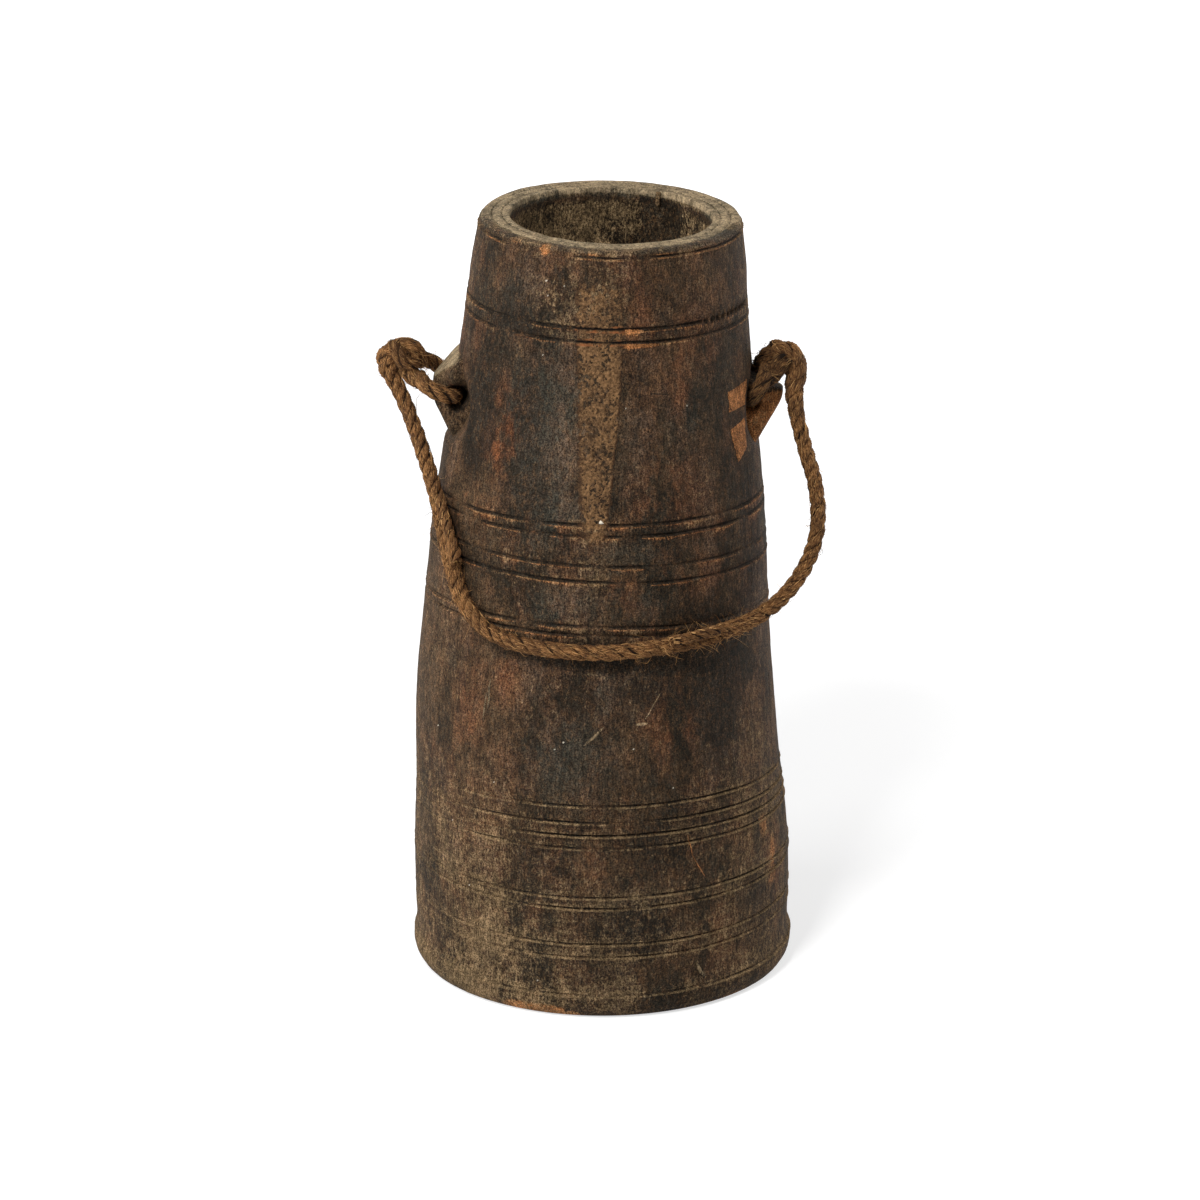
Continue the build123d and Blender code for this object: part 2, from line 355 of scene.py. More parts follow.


# %% [markdown]
# ## Rope finish
# Jute is made of fine dull fibres. Each strand carries a coordinate that runs along its yarns, so a noise
# that is long one way and short the other draws the fibres. The hollows between strands get a painted shade,
# and a second number paints shade where a rope lies in shadow: in the lugs' holes, at the right lug and in the
# knots.

# %% Rope finish
def rope_finish():
    """Jute: brown to straw fibres along the yarns, with painted shade in the hollows of the lay and where a rope
    lies in shadow.
    """
    material, tree, shader = new_finish("jute_fibre", 0.85, 0.15)
    fibre = from_points(tree, "fibre")
    hollow, shaded, pale = masks(tree, "lay")
    streaks = noise(stretched(fibre, 2.6, 0.45), 1, 3, 0.6)
    threads = noise(stretched(fibre, 8, 0.8), 1, 3, 0.65)
    blotch = noise(object_place(tree), 60, 3, 0.6)
    colour = mixed(eased(streaks, 0.36, 0.64), tone(58, 36, 20), tone(140, 95, 55))
    colour = painted(colour, eased(threads, 0.51, 0.62, 0, 0.95), 198, 147, 92)
    colour = painted(colour, eased(threads, 0.48, 0.37, 0, 0.9), 34, 22, 13)
    colour = painted(colour, eased(blotch, 0.46, 0.66, 0, 0.5), 84, 58, 36)
    # Painted shade in the hollows between strands.
    colour = painted(colour, eased(hollow, 0, 1, 0, 0.95), 20, 13, 8)
    colour = painted(colour, eased(pale, 0, 1), 206, 158, 102)
    colour = painted(colour, eased(pale, 0, -1), 34, 22, 13)
    colour = painted(colour, shaded, 34, 23, 13)
    put(colour, shader.inputs["Base Color"])
    bumped(shader, added(streaks, threads), 0.001, 1)
    return material


jute = rope_finish()

# %% [markdown]
# ## Rope routes
# The rope's line follows the route of the solid rope to within a few millimetres. Its points are in
# millimetres: across, forward or back, and up from the line that the bail swings about. A NURBS spline
# pulled by those points gives a smooth line, as a heavy soft rope would lie.

# %% Rope routes
ROPE_DIAMETER = 7.6
ROUTES = {
    "bail": [
        (-92, 0, 0), (-100, 0, 0), (-105.2, -0.5, -6.2), (-96.6, -3.5, -21.5), (-87.6, -12, -43),
        (-79.2, -28, -66), (-73, -47, -87.5), (-67, -58.5, -110.5), (-52, -73.5, -122.5),
        (-26, -86.5, -124.5), (3, -90.5, -125), (32, -84.5, -123.5), (57, -70, -122), (78, -49.5, -121),
        (95.5, -38, -108), (106, -29, -88), (106, -20.5, -66), (98.8, -12, -45), (93.4, -5, -22),
        (96.2, -1, -8.5), (91.4, 0, 0), (83.5, 0, 0),
    ],
    "left_loop": [
        (-88, 4, -6.5), (-85.4, 9.8, -8.7), (-81.7, 16, -12.1), (-75.3, 17.5, -16.9), (-69.6, 12.5, -21.4),
        (-69.8, -12.5, -21.2), (-76.4, -17.5, -18.2), (-83.4, -15.5, -15.3), (-86.4, -9.6, -13.6),
        (-88, -4, -13),
    ],
    "right_loop": [
        (80.5, 4.2, -9), (79.6, 9.6, -10.3), (78, 15.6, -13), (74.9, 17.5, -18.5), (71.8, 12.5, -22.7),
        (71.8, -12.5, -22.7), (75.2, -17.7, -18.5), (78.6, -15.8, -12.7), (80.3, -9.8, -9.8),
        (81, -4.2, -8.5),
    ],
    "left_end": [
        (-78.6, -33, -62), (-73, -46.8, -76.5), (-69, -57.2, -90.5),
    ],
    "right_end": [
        (34.4, -88.8, -119.6), (47.6, -82, -118.4), (59.6, -73.2, -118.2),
    ],
}
POINT_GAPS = {"bail": 0.8, "left_loop": 0.7, "right_loop": 0.7, "left_end": 0.6, "right_end": 0.6}


def on_line(at, along, line):
    """Points on a line at distances along it."""
    return stacked(*(np.interp(at, along, part) for part in line.T))


def rope_line(route, spacing):
    """Evenly spaced points on the NURBS line of a route, in mm, and their distances along it."""
    curve = bpy.data.curves.new("route", "CURVE")
    curve.dimensions = "3D"
    spline = curve.splines.new("NURBS")
    spline.points.add(len(route) - 1)
    places = np.array([(x * MM, y * MM, hinge[2] + up * MM, 1.0) for x, y, up in route])
    spline.points.foreach_set("co", places.ravel())
    spline.order_u = 3
    spline.use_endpoint_u = True
    spline.resolution_u = 24
    holder = bpy.data.objects.new("route", curve)
    mesh = bpy.data.meshes.new_from_object(holder)
    line = np.empty(len(mesh.vertices) * 3)
    mesh.vertices.foreach_get("co", line)
    bpy.data.objects.remove(holder)
    bpy.data.curves.remove(curve)
    bpy.data.meshes.remove(mesh)
    line = line.reshape(-1, 3) / MM
    along = np.concatenate([[0], np.cumsum(np.linalg.norm(np.diff(line, axis=0), axis=1))])
    at = np.linspace(0, along[-1], int(along[-1] / spacing) + 1)
    return on_line(at, along, line), at


rope_lines = {name: rope_line(route, POINT_GAPS[name]) for name, route in ROUTES.items()}
print("rope lines in mm:", {name: round(along[-1], 1) for name, (_, along) in rope_lines.items()})

# %% [markdown]
# ## Laid rope
# A laid rope has strands that wind round each other, and each strand has yarns that wind the other way. The
# strand's middle is a helix round the rope's line. Its skin is a ring round that helix, with a ripple for
# each yarn. The lay runs like the stroke of a Z and repeats every nineteen millimetres, as it does on the
# real rope.

# %% Laid rope
LAY_LENGTH = 19.0
YARNS = 6
YARN_TURN = 11.0
STRAND_SIDES = 24
STRAND_SHARE = {3: 0.245, 4: 0.215}
OVALNESS = 1.12
RIPPLE, ROUGHNESS = 0.1, 0.07
NESTING = 0.94
SLOW_WANDER, QUICK_WANDER, SWELLING = 0.35, 0.25, 0.08
TIP_SHARE = 0.3
HOLLOW_SHADE_EDGES = (-0.66, 0.2)
STRAND_SHIFT = 40.0


def carried_frames(line):
    """Directions along a line and two directions across it, carried from ring to ring without twisting."""
    tangent = unit(np.gradient(line, axis=0))
    side = np.cross(tangent[0], [0.31, 0.52, 0.79])
    sides = []
    for direction in tangent:
        side = unit(side - direction * (side @ direction))
        sides.append(side)
    normal = np.array(sides)
    return tangent, normal, np.cross(tangent, normal)


def from_ends(along):
    """Distance from the nearer end of a line."""
    return np.minimum(along, along[-1] - along)


def strand_rings(line, along, thickness, seed, strands=3, lay=LAY_LENGTH, tips=0.0, shaded=0.0):
    """Rings of every strand: a helix round the line, and round the helix an oval rippled by the yarns.
    thickness is the rope's own along the line, and over the length tips the strands thin to their ends."""
    tangent, normal, across = carried_frames(line)
    number = np.arange(strands)[:, None]
    wander = SLOW_WANDER * lattice_noise(along / 14, number + 0.5, seed)
    wander = wander + QUICK_WANDER * lattice_noise(along / 5, number + 9.5, seed)
    turn = 2 * np.pi * (along / lay + number / strands) + wander
    swelling = SWELLING * lattice_noise(along / 8, number + 20.5, seed)
    radius = STRAND_SHARE[strands] * thickness * (1 + swelling)
    turns = full_turn(STRAND_SIDES)
    # Painted shade on the inner side of each strand, where it meets the others.
    hollow = step(-np.cos(turns), *HOLLOW_SHADE_EDGES)
    if tips:
        ending = step(from_ends(along), 0, tips)
        radius = radius * (TIP_SHARE + (1 - TIP_SHARE) * ending)
        hollow = hollow * ending[:, None]
    reach = thickness / 2 - NESTING * radius
    spoke = spokes(turn, normal, across)
    middle = line + reach[..., None] * spoke
    forward = unit(np.gradient(middle, axis=1))
    outward = unit(spoke - forward * (spoke * forward).sum(-1, keepdims=True))[:, :, None]
    sideways = np.cross(forward[:, :, None], outward)
    distance = along[None, :, None]
    yarn = turns + 2 * np.pi * distance / YARN_TURN + 1.3 * number[..., None]
    ripple = RIPPLE * np.cos(YARNS * yarn)
    ripple = ripple + ROUGHNESS * lattice_noise(yarn / (2 * np.pi) * 16, distance / 3, seed + 3, 16)
    ring = (radius[..., None] * (1 + ripple))[..., None]
    oval = np.cos(turns)[:, None] * outward + OVALNESS * np.sin(turns)[:, None] * sideways
    points = middle[:, :, None] + ring * oval
    fibre = stacked(np.cos(yarn), np.sin(yarn), distance + STRAND_SHIFT * number[..., None])
    return points, fibre, stacked(hollow, shaded, 0 * yarn)


def rope_skin(name, points, body, node, fibre, lay):
    """A closed skin with the rope finish."""
    return skin(name, points, body, node, "jute_rope", jute, fibre=fibre, lay=lay)


def rope_piece(name, line, along, thickness, body, node, seed, **lay):
    """A laid rope along a line, as one piece."""
    points, fibre, lay_mask = strand_rings(line, along, thickness, seed, **lay)
    return rope_skin(name, points, body, node, fibre, lay_mask)


# %% [markdown]
# ## Bail and lug loops
# The bail hangs over the front, and a loop of the same rope passes through each lug. The bail is fatter at
# its ends, where the loops are worked into it, and at two places where a strand's end was tucked beside the
# lay.

# %% Bail and lug loops
SIDES = ("left", "right")
BAIL_SEED = 11
SWELLS = [
    (0, 1.2), (6, 1.36), (15, 1.36), (22, 1.12), (30, 1.0), (92, 1.0), (108, 1.12), (130, 1.12),
    (146, 1.0), (236, 1.0), (256, 1.12), (284, 1.12), (304, 1.0), (418, 1.0), (432, 1.22), (440, 1.42),
    (450, 1.36), (458, 1.12), (464, 1.0),
]
# Each loop's seed, then its painted shade: the even part, and the strength and reach of the shade in its hole.
LOOPS = {"left": (21, 0.0, 0.6, 15), "right": (31, 0.35, 0.6, 22)}
STRAND_DIAMETER = 5.2
STRAND_LAY = 16
END_TAPER = 5
ENDS = {"left": (41, 0.3), "right": (51, 0.0)}
LUMP_AT = 33
LUMP_REACH = 5

bail_line, bail_along = rope_lines["bail"]
bail_thickness = ROPE_DIAMETER * np.interp(bail_along, *zip(*SWELLS))
bail = rope_piece("bail_rope", bail_line, bail_along, bail_thickness, "bail", "rope_handle", BAIL_SEED)


def in_hole(along, everywhere, strength, reach):
    """Shade on a loop: an even part, and a bell shape in the middle, where the loop is inside its hole."""
    return (everywhere + strength * np.exp(-(((along - along[-1] / 2) / reach) ** 2)))[:, None]


def loop_piece(side):
    """The rope through one lug, shaded inside its hole."""
    seed, *shade = LOOPS[side]
    line, along = rope_lines[f"{side}_loop"]
    return rope_piece(
        f"{side}_loop_rope", line, along, ROPE_DIAMETER, "pail", f"{side}_lug_loop", seed,
        shaded=in_hole(along, *shade))


def end_piece(side):
    """A tucked strand that thins to both ends; the left one has a lump."""
    seed, lump = ENDS[side]
    line, along = rope_lines[f"{side}_end"]
    thickness = STRAND_DIAMETER * (1 + lump * np.exp(-(((along - LUMP_AT) / LUMP_REACH) ** 2)))
    return rope_piece(
        f"{side}_tucked_strand", line, along, thickness, "bail", f"{side}_tucked_end", seed,
        lay=STRAND_LAY, tips=END_TAPER)


loops = {side: loop_piece(side) for side in SIDES}
ends = [end_piece(side) for side in SIDES]

# %% [markdown]
# ## Splices
# On each side the loop's legs are worked into the bail's end, and the rope is fat there. A short roll of
# four fat strands lies along the line that the bail swings about, so the bail's end turns inside it. It
# bends down to the loop, and a short leg on either side joins it to the loop's own ends. The left roll has
# one more turn over it.

# %% Splices
SPLICES = {
    "left": [
        ([(-100.5, 0, -1.8), (-96.8, -0.5, 0.6), (-93, -0.6, 0.2), (-89.8, 0.4, -2.4),
          (-88, 1.8, -5.6)], 10.6),
        ([(-99.4, -1, 3.4), (-98.6, -6.2, 0.2), (-95.6, -8, -4.4), (-91.8, -7, -6.6),
          (-88, -3, -7)], 7.2),
        ([(-92.5, 1.5, -3), (-89, 3.2, -5.8), (-86.6, 7, -7.6), (-84.6, 11.2, -9.4)], 8),
        ([(-95, -2, -5), (-93.2, -4, -10.4), (-90, -5.6, -13.4), (-86.2, -9.2, -14.2)], 8.8),
    ],
    "right": [
        ([(90, 0, -1.6), (86.8, 1, -1.6), (83.8, 2, -3.6), (80.8, 3, -6.8), (79, 4, -10.2)], 10.4),
        ([(90.5, -4, -3), (87.2, -5.6, -7), (83.8, -6.8, -11), (80, -12.4, -13)], 9),
        ([(88, 3.4, -1), (84.2, 6, -4), (80, 8, -8), (78.6, 12.4, -10.6)], 9),
    ],
}
SPLICE_RINGS = 44
SPLICE_GAP = 0.3
SPLICE_LAY = 28
SPLICE_TAPER = 2.5
SPLICE_SHADE = {"left": 0.05, "right": 0.45}
SPLICE_SEEDS = {"left": 61, "right": 71}


def splice(side):
    """Short fat ropes of four strands: first the roll along the swing line, then what lies by it."""
    parts = []
    for number, (route, thickness) in enumerate(SPLICES[side]):
        line, along = rope_line(route, SPLICE_GAP)
        at = np.linspace(0, along[-1], SPLICE_RINGS)
        line = on_line(at, along, line)
        swell = thickness * (0.86 + 0.14 * np.sin(np.pi * at / at[-1]))
        # Painted shade near both ends of each rope, where it runs in under the others; the right knot is shaded
        # more overall.
        under = 1 - step(from_ends(at), 0, 4)
        shaded = (SPLICE_SHADE[side] + 0.15 * (number > 0) + 0.55 * under)[:, None]
        seed = SPLICE_SEEDS[side] + number
        shape = {"strands": 4, "lay": SPLICE_LAY, "tips": SPLICE_TAPER, "shaded": shaded}
        parts.append(strand_rings(line, at, swell, seed, **shape))
    points, fibre, lay_mask = (np.concatenate(part) for part in zip(*parts))
    return rope_skin(f"{side}_splice", points, "pail", f"{side}_knot", fibre, lay_mask)


splices = {side: splice(side) for side in SIDES}

# %% [markdown]
# ## Loose fibres
# Old jute is rough and hairy. Coarse fibres lie on the rope and follow its lay, and fine hairs leave it and
# curl. Each is a three-sided tube of a few rings. The longest stand where the strands were tucked.

# %% Loose fibres
FIBRE_RINGS = 9
FIBRE_SIDES = 3
FIBRE_SLOPE = 0.4


def fibres(name, body, clumps, seed):
    """Fibres on ropes: each starts on the rope, winds on along the lay, and rises with the square of its way.
    A clump is a line with its distances and thickness, then the number, length, radius, rise and shade of its
    fibres."""
    random = np.random.default_rng(seed)
    t = np.linspace(0, 1, FIBRE_RINGS)
    middles, radii, shades = [], [], []
    for line, along, thickness, count, longest, radius, rise, shade in clumps:
        _, normal, across = carried_frames(line)
        length = longest * random.uniform(0.25, 1.0, (count, 1)) * random.choice([-1, 1], (count, 1))
        slope = random.normal(FIBRE_SLOPE, 0.25, (count, 1))
        start = random.uniform(0, along[-1], (count, 1))
        at = np.clip(start + length * np.cos(slope) * t, 0, along[-1])
        half = np.interp(at, along, thickness / 2 + 0 * along)
        turn = random.uniform(0, 2 * np.pi, (count, 1)) + length * np.sin(slope) * t / half
        index = np.rint(at / along[1]).astype(int)
        spoke = spokes(turn, normal[index], across[index])
        reach = half * random.uniform(0.86, 0.98, (count, 1))
        reach = reach + np.abs(length) * rise * random.random((count, 1)) ** 2 * t**2
        aside = random.normal(0, 0.6 * rise, (count, 1, 3)) * (np.abs(length) * t**2)[..., None]
        curl = np.sin(np.pi * (random.uniform(1.0, 2.5, (count, 1)) * t + random.random((count, 1)))) * t
        aside = aside + random.normal(0, 0.3 * rise, (count, 1, 3)) * (np.abs(length) * curl)[..., None]
        middles.append(line[index] + reach[..., None] * spoke + aside)
        radii.append(np.full(count, radius) * random.uniform(0.6, 1.2, count))
        shades.append(np.full(count, shade))
    middle, radius = np.concatenate(middles), np.concatenate(radii)
    forward = unit(np.gradient(middle, axis=1) + 1e-6)
    side = unit(np.cross(forward, [0.27, 0.53, 0.81]))
    up = np.cross(forward, side)
    spoke = spokes(full_turn(FIBRE_SIDES), side[:, :, None], up[:, :, None])
    thin = radius[:, None] * (1 - 0.75 * np.abs(2 * t - 0.8) / 1.2)
    points = middle[:, :, None] + thin[..., None, None] * spoke
    fibre = random.uniform(0, 60, (len(middle), 1, 1, 3)) + 0 * points
    pale = np.array([0.0, 0.0, 1.0]) * random.uniform(-1, 1, (len(middle), 1, 1, 1)) + 0 * points
    shaded = np.array([0.0, 1.0, 0.0]) * np.concatenate(shades)[:, None, None, None]
    return rope_skin(name, points, body, None, fibre, pale + shaded)


def splice_clumps(side, *kind):
    """Fibres of one kind on every rope of a splice."""
    return [(*rope_line(route, SPLICE_GAP), thickness, *kind) for route, thickness in SPLICES[side]]


def part_of_bail(low, high):
    """The bail's line between two distances, with its own distances and its thickness."""
    part = (bail_along > low) & (bail_along < high)
    return bail_line[part], bail_along[part] - bail_along[part][0], bail_thickness[part]


whole_bail = (bail_line, bail_along, bail_thickness)
left_loop, right_loop = ((*rope_lines[f"{side}_loop"], ROPE_DIAMETER) for side in SIDES)
left_end, right_end = ((*rope_lines[f"{side}_end"], STRAND_DIAMETER) for side in SIDES)
bail_fuzz = fibres("bail_fuzz", "bail", [
    (*whole_bail, 1300, 8.0, 0.22, 0.06, 0), (*whole_bail, 520, 7.0, 0.13, 0.6, 0),
    (*part_of_bail(236, 305), 280, 12.0, 0.12, 0.65, 0),
    (*part_of_bail(92, 150)[:2], 8.5, 100, 12.0, 0.13, 0.5, 0),
    (*left_end, 150, 6.0, 0.3, 0.1, 0), (*right_end, 120, 6.0, 0.3, 0.1, 0),
], 81)
fibres("loop_fuzz", "pail", [
    (*left_loop, 270, 7.0, 0.22, 0.06, 0.15), (*left_loop, 120, 9.0, 0.13, 0.6, 0),
    (*right_loop, 270, 7.0, 0.22, 0.06, 0.7), (*right_loop, 110, 8.0, 0.13, 0.6, 0.3),
    *splice_clumps("left", 120, 7.0, 0.22, 0.05, 0.1), *splice_clumps("right", 110, 7.0, 0.22, 0.05, 0.5),
    *splice_clumps("left", 50, 9.0, 0.12, 0.55, 0), *splice_clumps("right", 40, 9.0, 0.12, 0.55, 0.2),
], 91)

# %% [markdown]
# ## Rope lengths
# Each rope's length is printed.

# %% Rope lengths
def declare(piece, line, along, pieces):
    """Prints a rope's length."""
    print(piece.name, "is", round(along[-1], 1), "mm long")


declare(bail, bail_line, bail_along, [*ends, bail_fuzz])
for side in SIDES:
    declare(loops[side], *rope_lines[f"{side}_loop"], [splices[side]])

# %% [markdown]
# ## Wood finish
# The log is dark with age and smoke. Brown, olive and rusty patches drift into each other. Khaki dust sits
# in the pores as fine flecks, and dark pits lie between them. Numbers on each point say how much dust, bare
# wood and soot it has, how rusty or grey it is, and whether it is inside. The dust number also carries painted
# highlights, the soot number painted shade and shadow, and a high grey number paints a pale sheen. More dust
# means that more of the flecks show.

# %% Wood finish
def wood_finish():
    """Aged wood: drifting patches, then rust, soot with painted shade, bare wood, pits and flecks of dust with
    painted highlights, then fine speckle.
    """
    material, tree, shader = new_finish("aged_wood", 0.8, 0.06)
    place = object_place(tree)
    clouds = noise(stretched(place, 1, 0.6), 24, 6, 0.66)
    drifts = noise(stretched(place, 1, 0.45), 42, 7, 0.7)
    blots = noise(stretched(place, 1, 0.55), 90, 7, 0.74)
    mottle = noise(stretched(place, 1, 0.8), 260, 6, 0.76)
    turned = noise(stretched(place, 0.12, 1), 480, 5, 0.76)
    flecks = noise(stretched(place, 1, 0.6), 1050, 4, 0.76)
    grain = noise(stretched(place, 1, 0.14), 900, 4, 0.7)
    speckle = noise(place, 1500, 3, 0.74)
    hues = noise(stretched(place, 1, 0.7), 560, 5, 0.76)
    dust_and_painted_light, bare, soot_and_shade = masks(tree, "wear")
    rust, grey, inside = masks(tree, "stain")
    # pale comes only where the grey number passes 1.2: a painted sheen on the rim's flat, painted top light on the
    # left lug's top face, and a paler tone on the slivers.
    pale = eased(grey, 1.2, 1.8)

    colour = mixed(eased(clouds, 0.42, 0.58), tone(48, 41, 32), tone(80, 63, 46))
    colour = painted(colour, added(eased(drifts, 0.52, 0.62, 0, 0.6), grey), 71, 69, 60)
    patches = added(times(blots, 0.55), times(mottle, 0.45))
    broad = added(times(drifts, 0.6), times(blots, 0.4))
    colour = painted(colour, times(added(rust, 0.26), eased(broad, 0.44, 0.58)), 110, 66, 40)
    # Soot and painted shade, spread by the patches, darken the wood.
    sooty_and_shaded = eased(added(soot_and_shade, patches), 0.6, 0.94, 0, 0.88)
    colour = painted(colour, sooty_and_shaded, 37, 32, 26)
    peeled = eased(added(bare, flecks), 0.8, 1)
    colour = painted(colour, peeled, 162, 107, 64)
    colour = painted(colour, inside, 50, 41, 30)

    colour = painted(colour, eased(hues, 0.5, 0.62, 0, 0.36), 104, 75, 48)
    colour = painted(colour, eased(hues, 0.48, 0.38, 0, 0.36), 52, 52, 46)
    cover = eased(larger(peeled, pale), 0, 1, 1, 0.2)
    colour = painted(colour, times(eased(flecks, 0.48, 0.39, 0, 0.8), cover), 22, 19, 15)
    uneven = added(eased(drifts, 0.4, 0.6, -0.4, 0.1), eased(turned, 0.4, 0.62, -0.14, 0.22))
    uneven = times(uneven, eased(larger(pale, inside), 0, 1, 1, 0.3))
    # The dust number also carries painted light: highlights on the groove lips, and less dust where the inside is
    # shaded.
    dusting_and_painted_light = added(added(dust_and_painted_light, uneven), times(sooty_and_shaded, -0.35))
    loose = added(times(flecks, 0.6), times(mottle, 0.4))
    dusty_and_painted_light = eased(added(loose, times(dusting_and_painted_light, 0.18)), 0.51, 0.68, 0, 0.7)
    # Where pale is high the dust takes a pale colour: the painted sheen and top light, and the slivers' paler
    # tone.
    colour = mixed(dusty_and_painted_light, colour, mixed(pale, tone(128, 107, 78), tone(176, 155, 122)))

    fine = eased(speckle, 0.38, 0.62, eased(pale, 0, 1, 0.35, 0.7), eased(pale, 0, 1, 1.65, 1.3))
    shade = times(eased(grain, 0.36, 0.64, 0.66, 1.34), fine)
    shade = times(shade, eased(patches, 0.42, 0.58, 0.7, 1.4))
    hollow = eased(flecks, 0.42, 0.58, eased(inside, 0, 1, 1, 0.5), eased(inside, 0, 1, 1, 1.5))
    colour = mixed(1.0, colour, times(shade, hollow), "MULTIPLY")
    put(colour, shader.inputs["Base Color"])
    put(eased(dusty_and_painted_light, 0, 1, 0.66, 0.92), shader.inputs["Roughness"])
    relief = added(added(times(grain, 0.6), added(speckle, flecks)), mottle)
    bumped(shader, relief, 0.001, 0.9)
    return material


aged_wood = wood_finish()


def wood_skin(name, points, wear, stain, ring=False):
    """A piece of the log: a closed skin with the wood finish."""
    skin(name, points, "pail", "vessel", "aged_wood", aged_wood, ring, wear=wear, stain=stain)


# %% [markdown]
# ## Turned wall
# On a lathe, the outline is turned round an axis and a tool cuts lines into it. The log then dried and
# leaned: its axis bends a few millimetres and its lines dip on one side. The wall is therefore a radius
# that depends on direction and height. Direction zero is the front and grows to the right, in degrees.

# %% Turned wall
OUTLINE = [
    (0, 90.0), (2.5, 92.2), (7, 94.0), (11, 94.0), (15, 92.9), (30, 92.8), (58, 93.1), (110, 90.4),
    (150, 88.2), (190, 84.8), (230, 81.3), (270, 76.8), (300, 72.6), (325, 69.6), (345, 67.4),
    (360, 66.1), (368, 64.9), (372, 64.3), (376.5, 63.6), (379, 63.1), (381.3, 61.6),
]
LEAN = [
    (0, 1.1), (62, 0.5), (93, -0.3), (124, -1.6), (155, -2.0), (216, -0.7), (265, 0.7), (339, 3.4),
    (360, 4.3), (381, 5.4),
]
DIP_RIGHT = [(0, 0), (64, 0.5), (105, 0.5), (200, 3.5), (228, 3.2), (250, 1.0), (344, 1.5), (380, 1.3)]
DIP_SIDES = [(0, 0), (64, 1.0), (105, 6.5), (200, 6.5), (228, 3.5), (250, 4.0), (344, 1.4), (380, 0)]
FINE, BOLD = 0.55, 0.75
GROOVES = [
    (12.8, 0.4, FINE), (32.7, 0.5, FINE), (39.5, 0.6, FINE), (58.4, 0.7, FINE), (64.1, 0.8, FINE),
    (89.4, 0.8, FINE), (95.8, 1.0, FINE), (102.4, 1.0, FINE), (110.8, 0.7, FINE), (195.8, 1.0, BOLD),
    (200.1, 0.8, BOLD), (222.2, 1.2, BOLD), (230.0, 1.0, BOLD), (244.6, 1.1, BOLD), (250.1, 1.0, BOLD),
    (337.8, 1.3, BOLD), (344.2, 1.1, BOLD), (378.0, 0.9, FINE),
]
WORN_BELOW = 120.0
CHATTERED = 344.2
CHATTER_STEP = 3.6
GOUGES = {"left": (-1, 63.5, 26.0, 40.0), "right": (1, 68.5, 40.0, 30.0)}
HOLE_HEIGHTS = {"left": HINGE_HEIGHT - 21.5, "right": HINGE_HEIGHT - 23.5}
DEGREE = math.pi / 180
WAVE_HEIGHT = 0.7
TOOL_MARK_HEIGHT = 0.22
FINE_HEIGHT = 0.15
LIP_HEIGHT = 0.55
WOBBLE = 0.45


def along_points(height, points):
    """A value that follows a smooth curve through pairs of height and value."""
    return smooth_curve(height, *zip(*points))


def round_cells(direction, cells):
    """A direction in degrees as a place among cells that fill one turn."""
    return (direction + 180) / 360 * cells


def round_rough(direction, cells, along, seed, octaves=3):
    """Unevenness that closes round the log, with a number of cells in one turn."""
    return rough(round_cells(direction, cells), along, seed, cells, octaves)


def groove_shape(direction, height):
    """Depth of the turned lines, a bell shape at each line, worn unevenly, and the lips beside each line."""
    depth = np.zeros(np.broadcast(direction, height).shape)
    lip = np.zeros_like(depth)
    for number, (middle, cut, width) in enumerate(GROOVES):
        wear = 0.85 + 0.9 * round_rough(direction, 30, number * 3.7 + 0 * height, 301)
        wear = np.clip(wear, 0.15, 1.6)
        if middle < WORN_BELOW:
            wear = wear * (0.35 + 0.85 * step(direction, -70, -5) * (1 - step(direction, 100, 170)))
        if middle == CHATTERED:
            dashes = np.sin(2 * np.pi * direction / CHATTER_STEP)
            chatter = step(direction, 38, 46) * step(84 - direction, 0, 8)
            wear = wear + 1.0 * dashes * chatter
            width = width * (1 + 0.9 * chatter)
        off = (height - middle) / width
        depth += cut * wear * np.exp(-(off**2))
        lip += wear * (np.exp(-((off + 1.7) ** 2) * 1.3) + 0.5 * np.exp(-((off - 1.7) ** 2) * 1.3))
    return depth, lip


def smooth_wall(direction, height):
    """The outline with the low waves and shallow tool marks of the turned log."""
    waves = WAVE_HEIGHT * round_rough(direction, 7, height / 90, 311)
    tool_marks = TOOL_MARK_HEIGHT * round_rough(direction, 64, height / 38, 321)
    keep = step(height, 0, 25) * 0.8 + 0.2
    return along_points(height, OUTLINE) + keep * (waves + tool_marks)


def wall_radius(direction, height):
    """The wall's radius: the smooth wall less its grooves, plus their lips and a fine roughness."""
    depth, lip = groove_shape(direction, height)
    fine = FINE_HEIGHT * round_rough(direction, 200, height / 2.6, 331, 2)
    return smooth_wall(direction, height) - depth + LIP_HEIGHT * lip + fine, depth, lip


def on_log(direction, height, radius):
    """Points in the part's frame: the radius turned to its direction, dipped and leaned as the log is."""
    angle = direction * DEGREE
    dip = along_points(height, DIP_RIGHT) * np.sin(angle)
    dip = dip + along_points(height, DIP_SIDES) * (1 - np.cos(angle)) * step(90 - np.abs(direction), -90, 0)
    wobble = WOBBLE * round_rough(direction, 20, height / 40, 341) * step(height, 5, 30)
    x = radius * np.sin(angle) + along_points(height, LEAN)
    y = -radius * np.cos(angle)
    return stacked(x, y, height - dip + wobble)


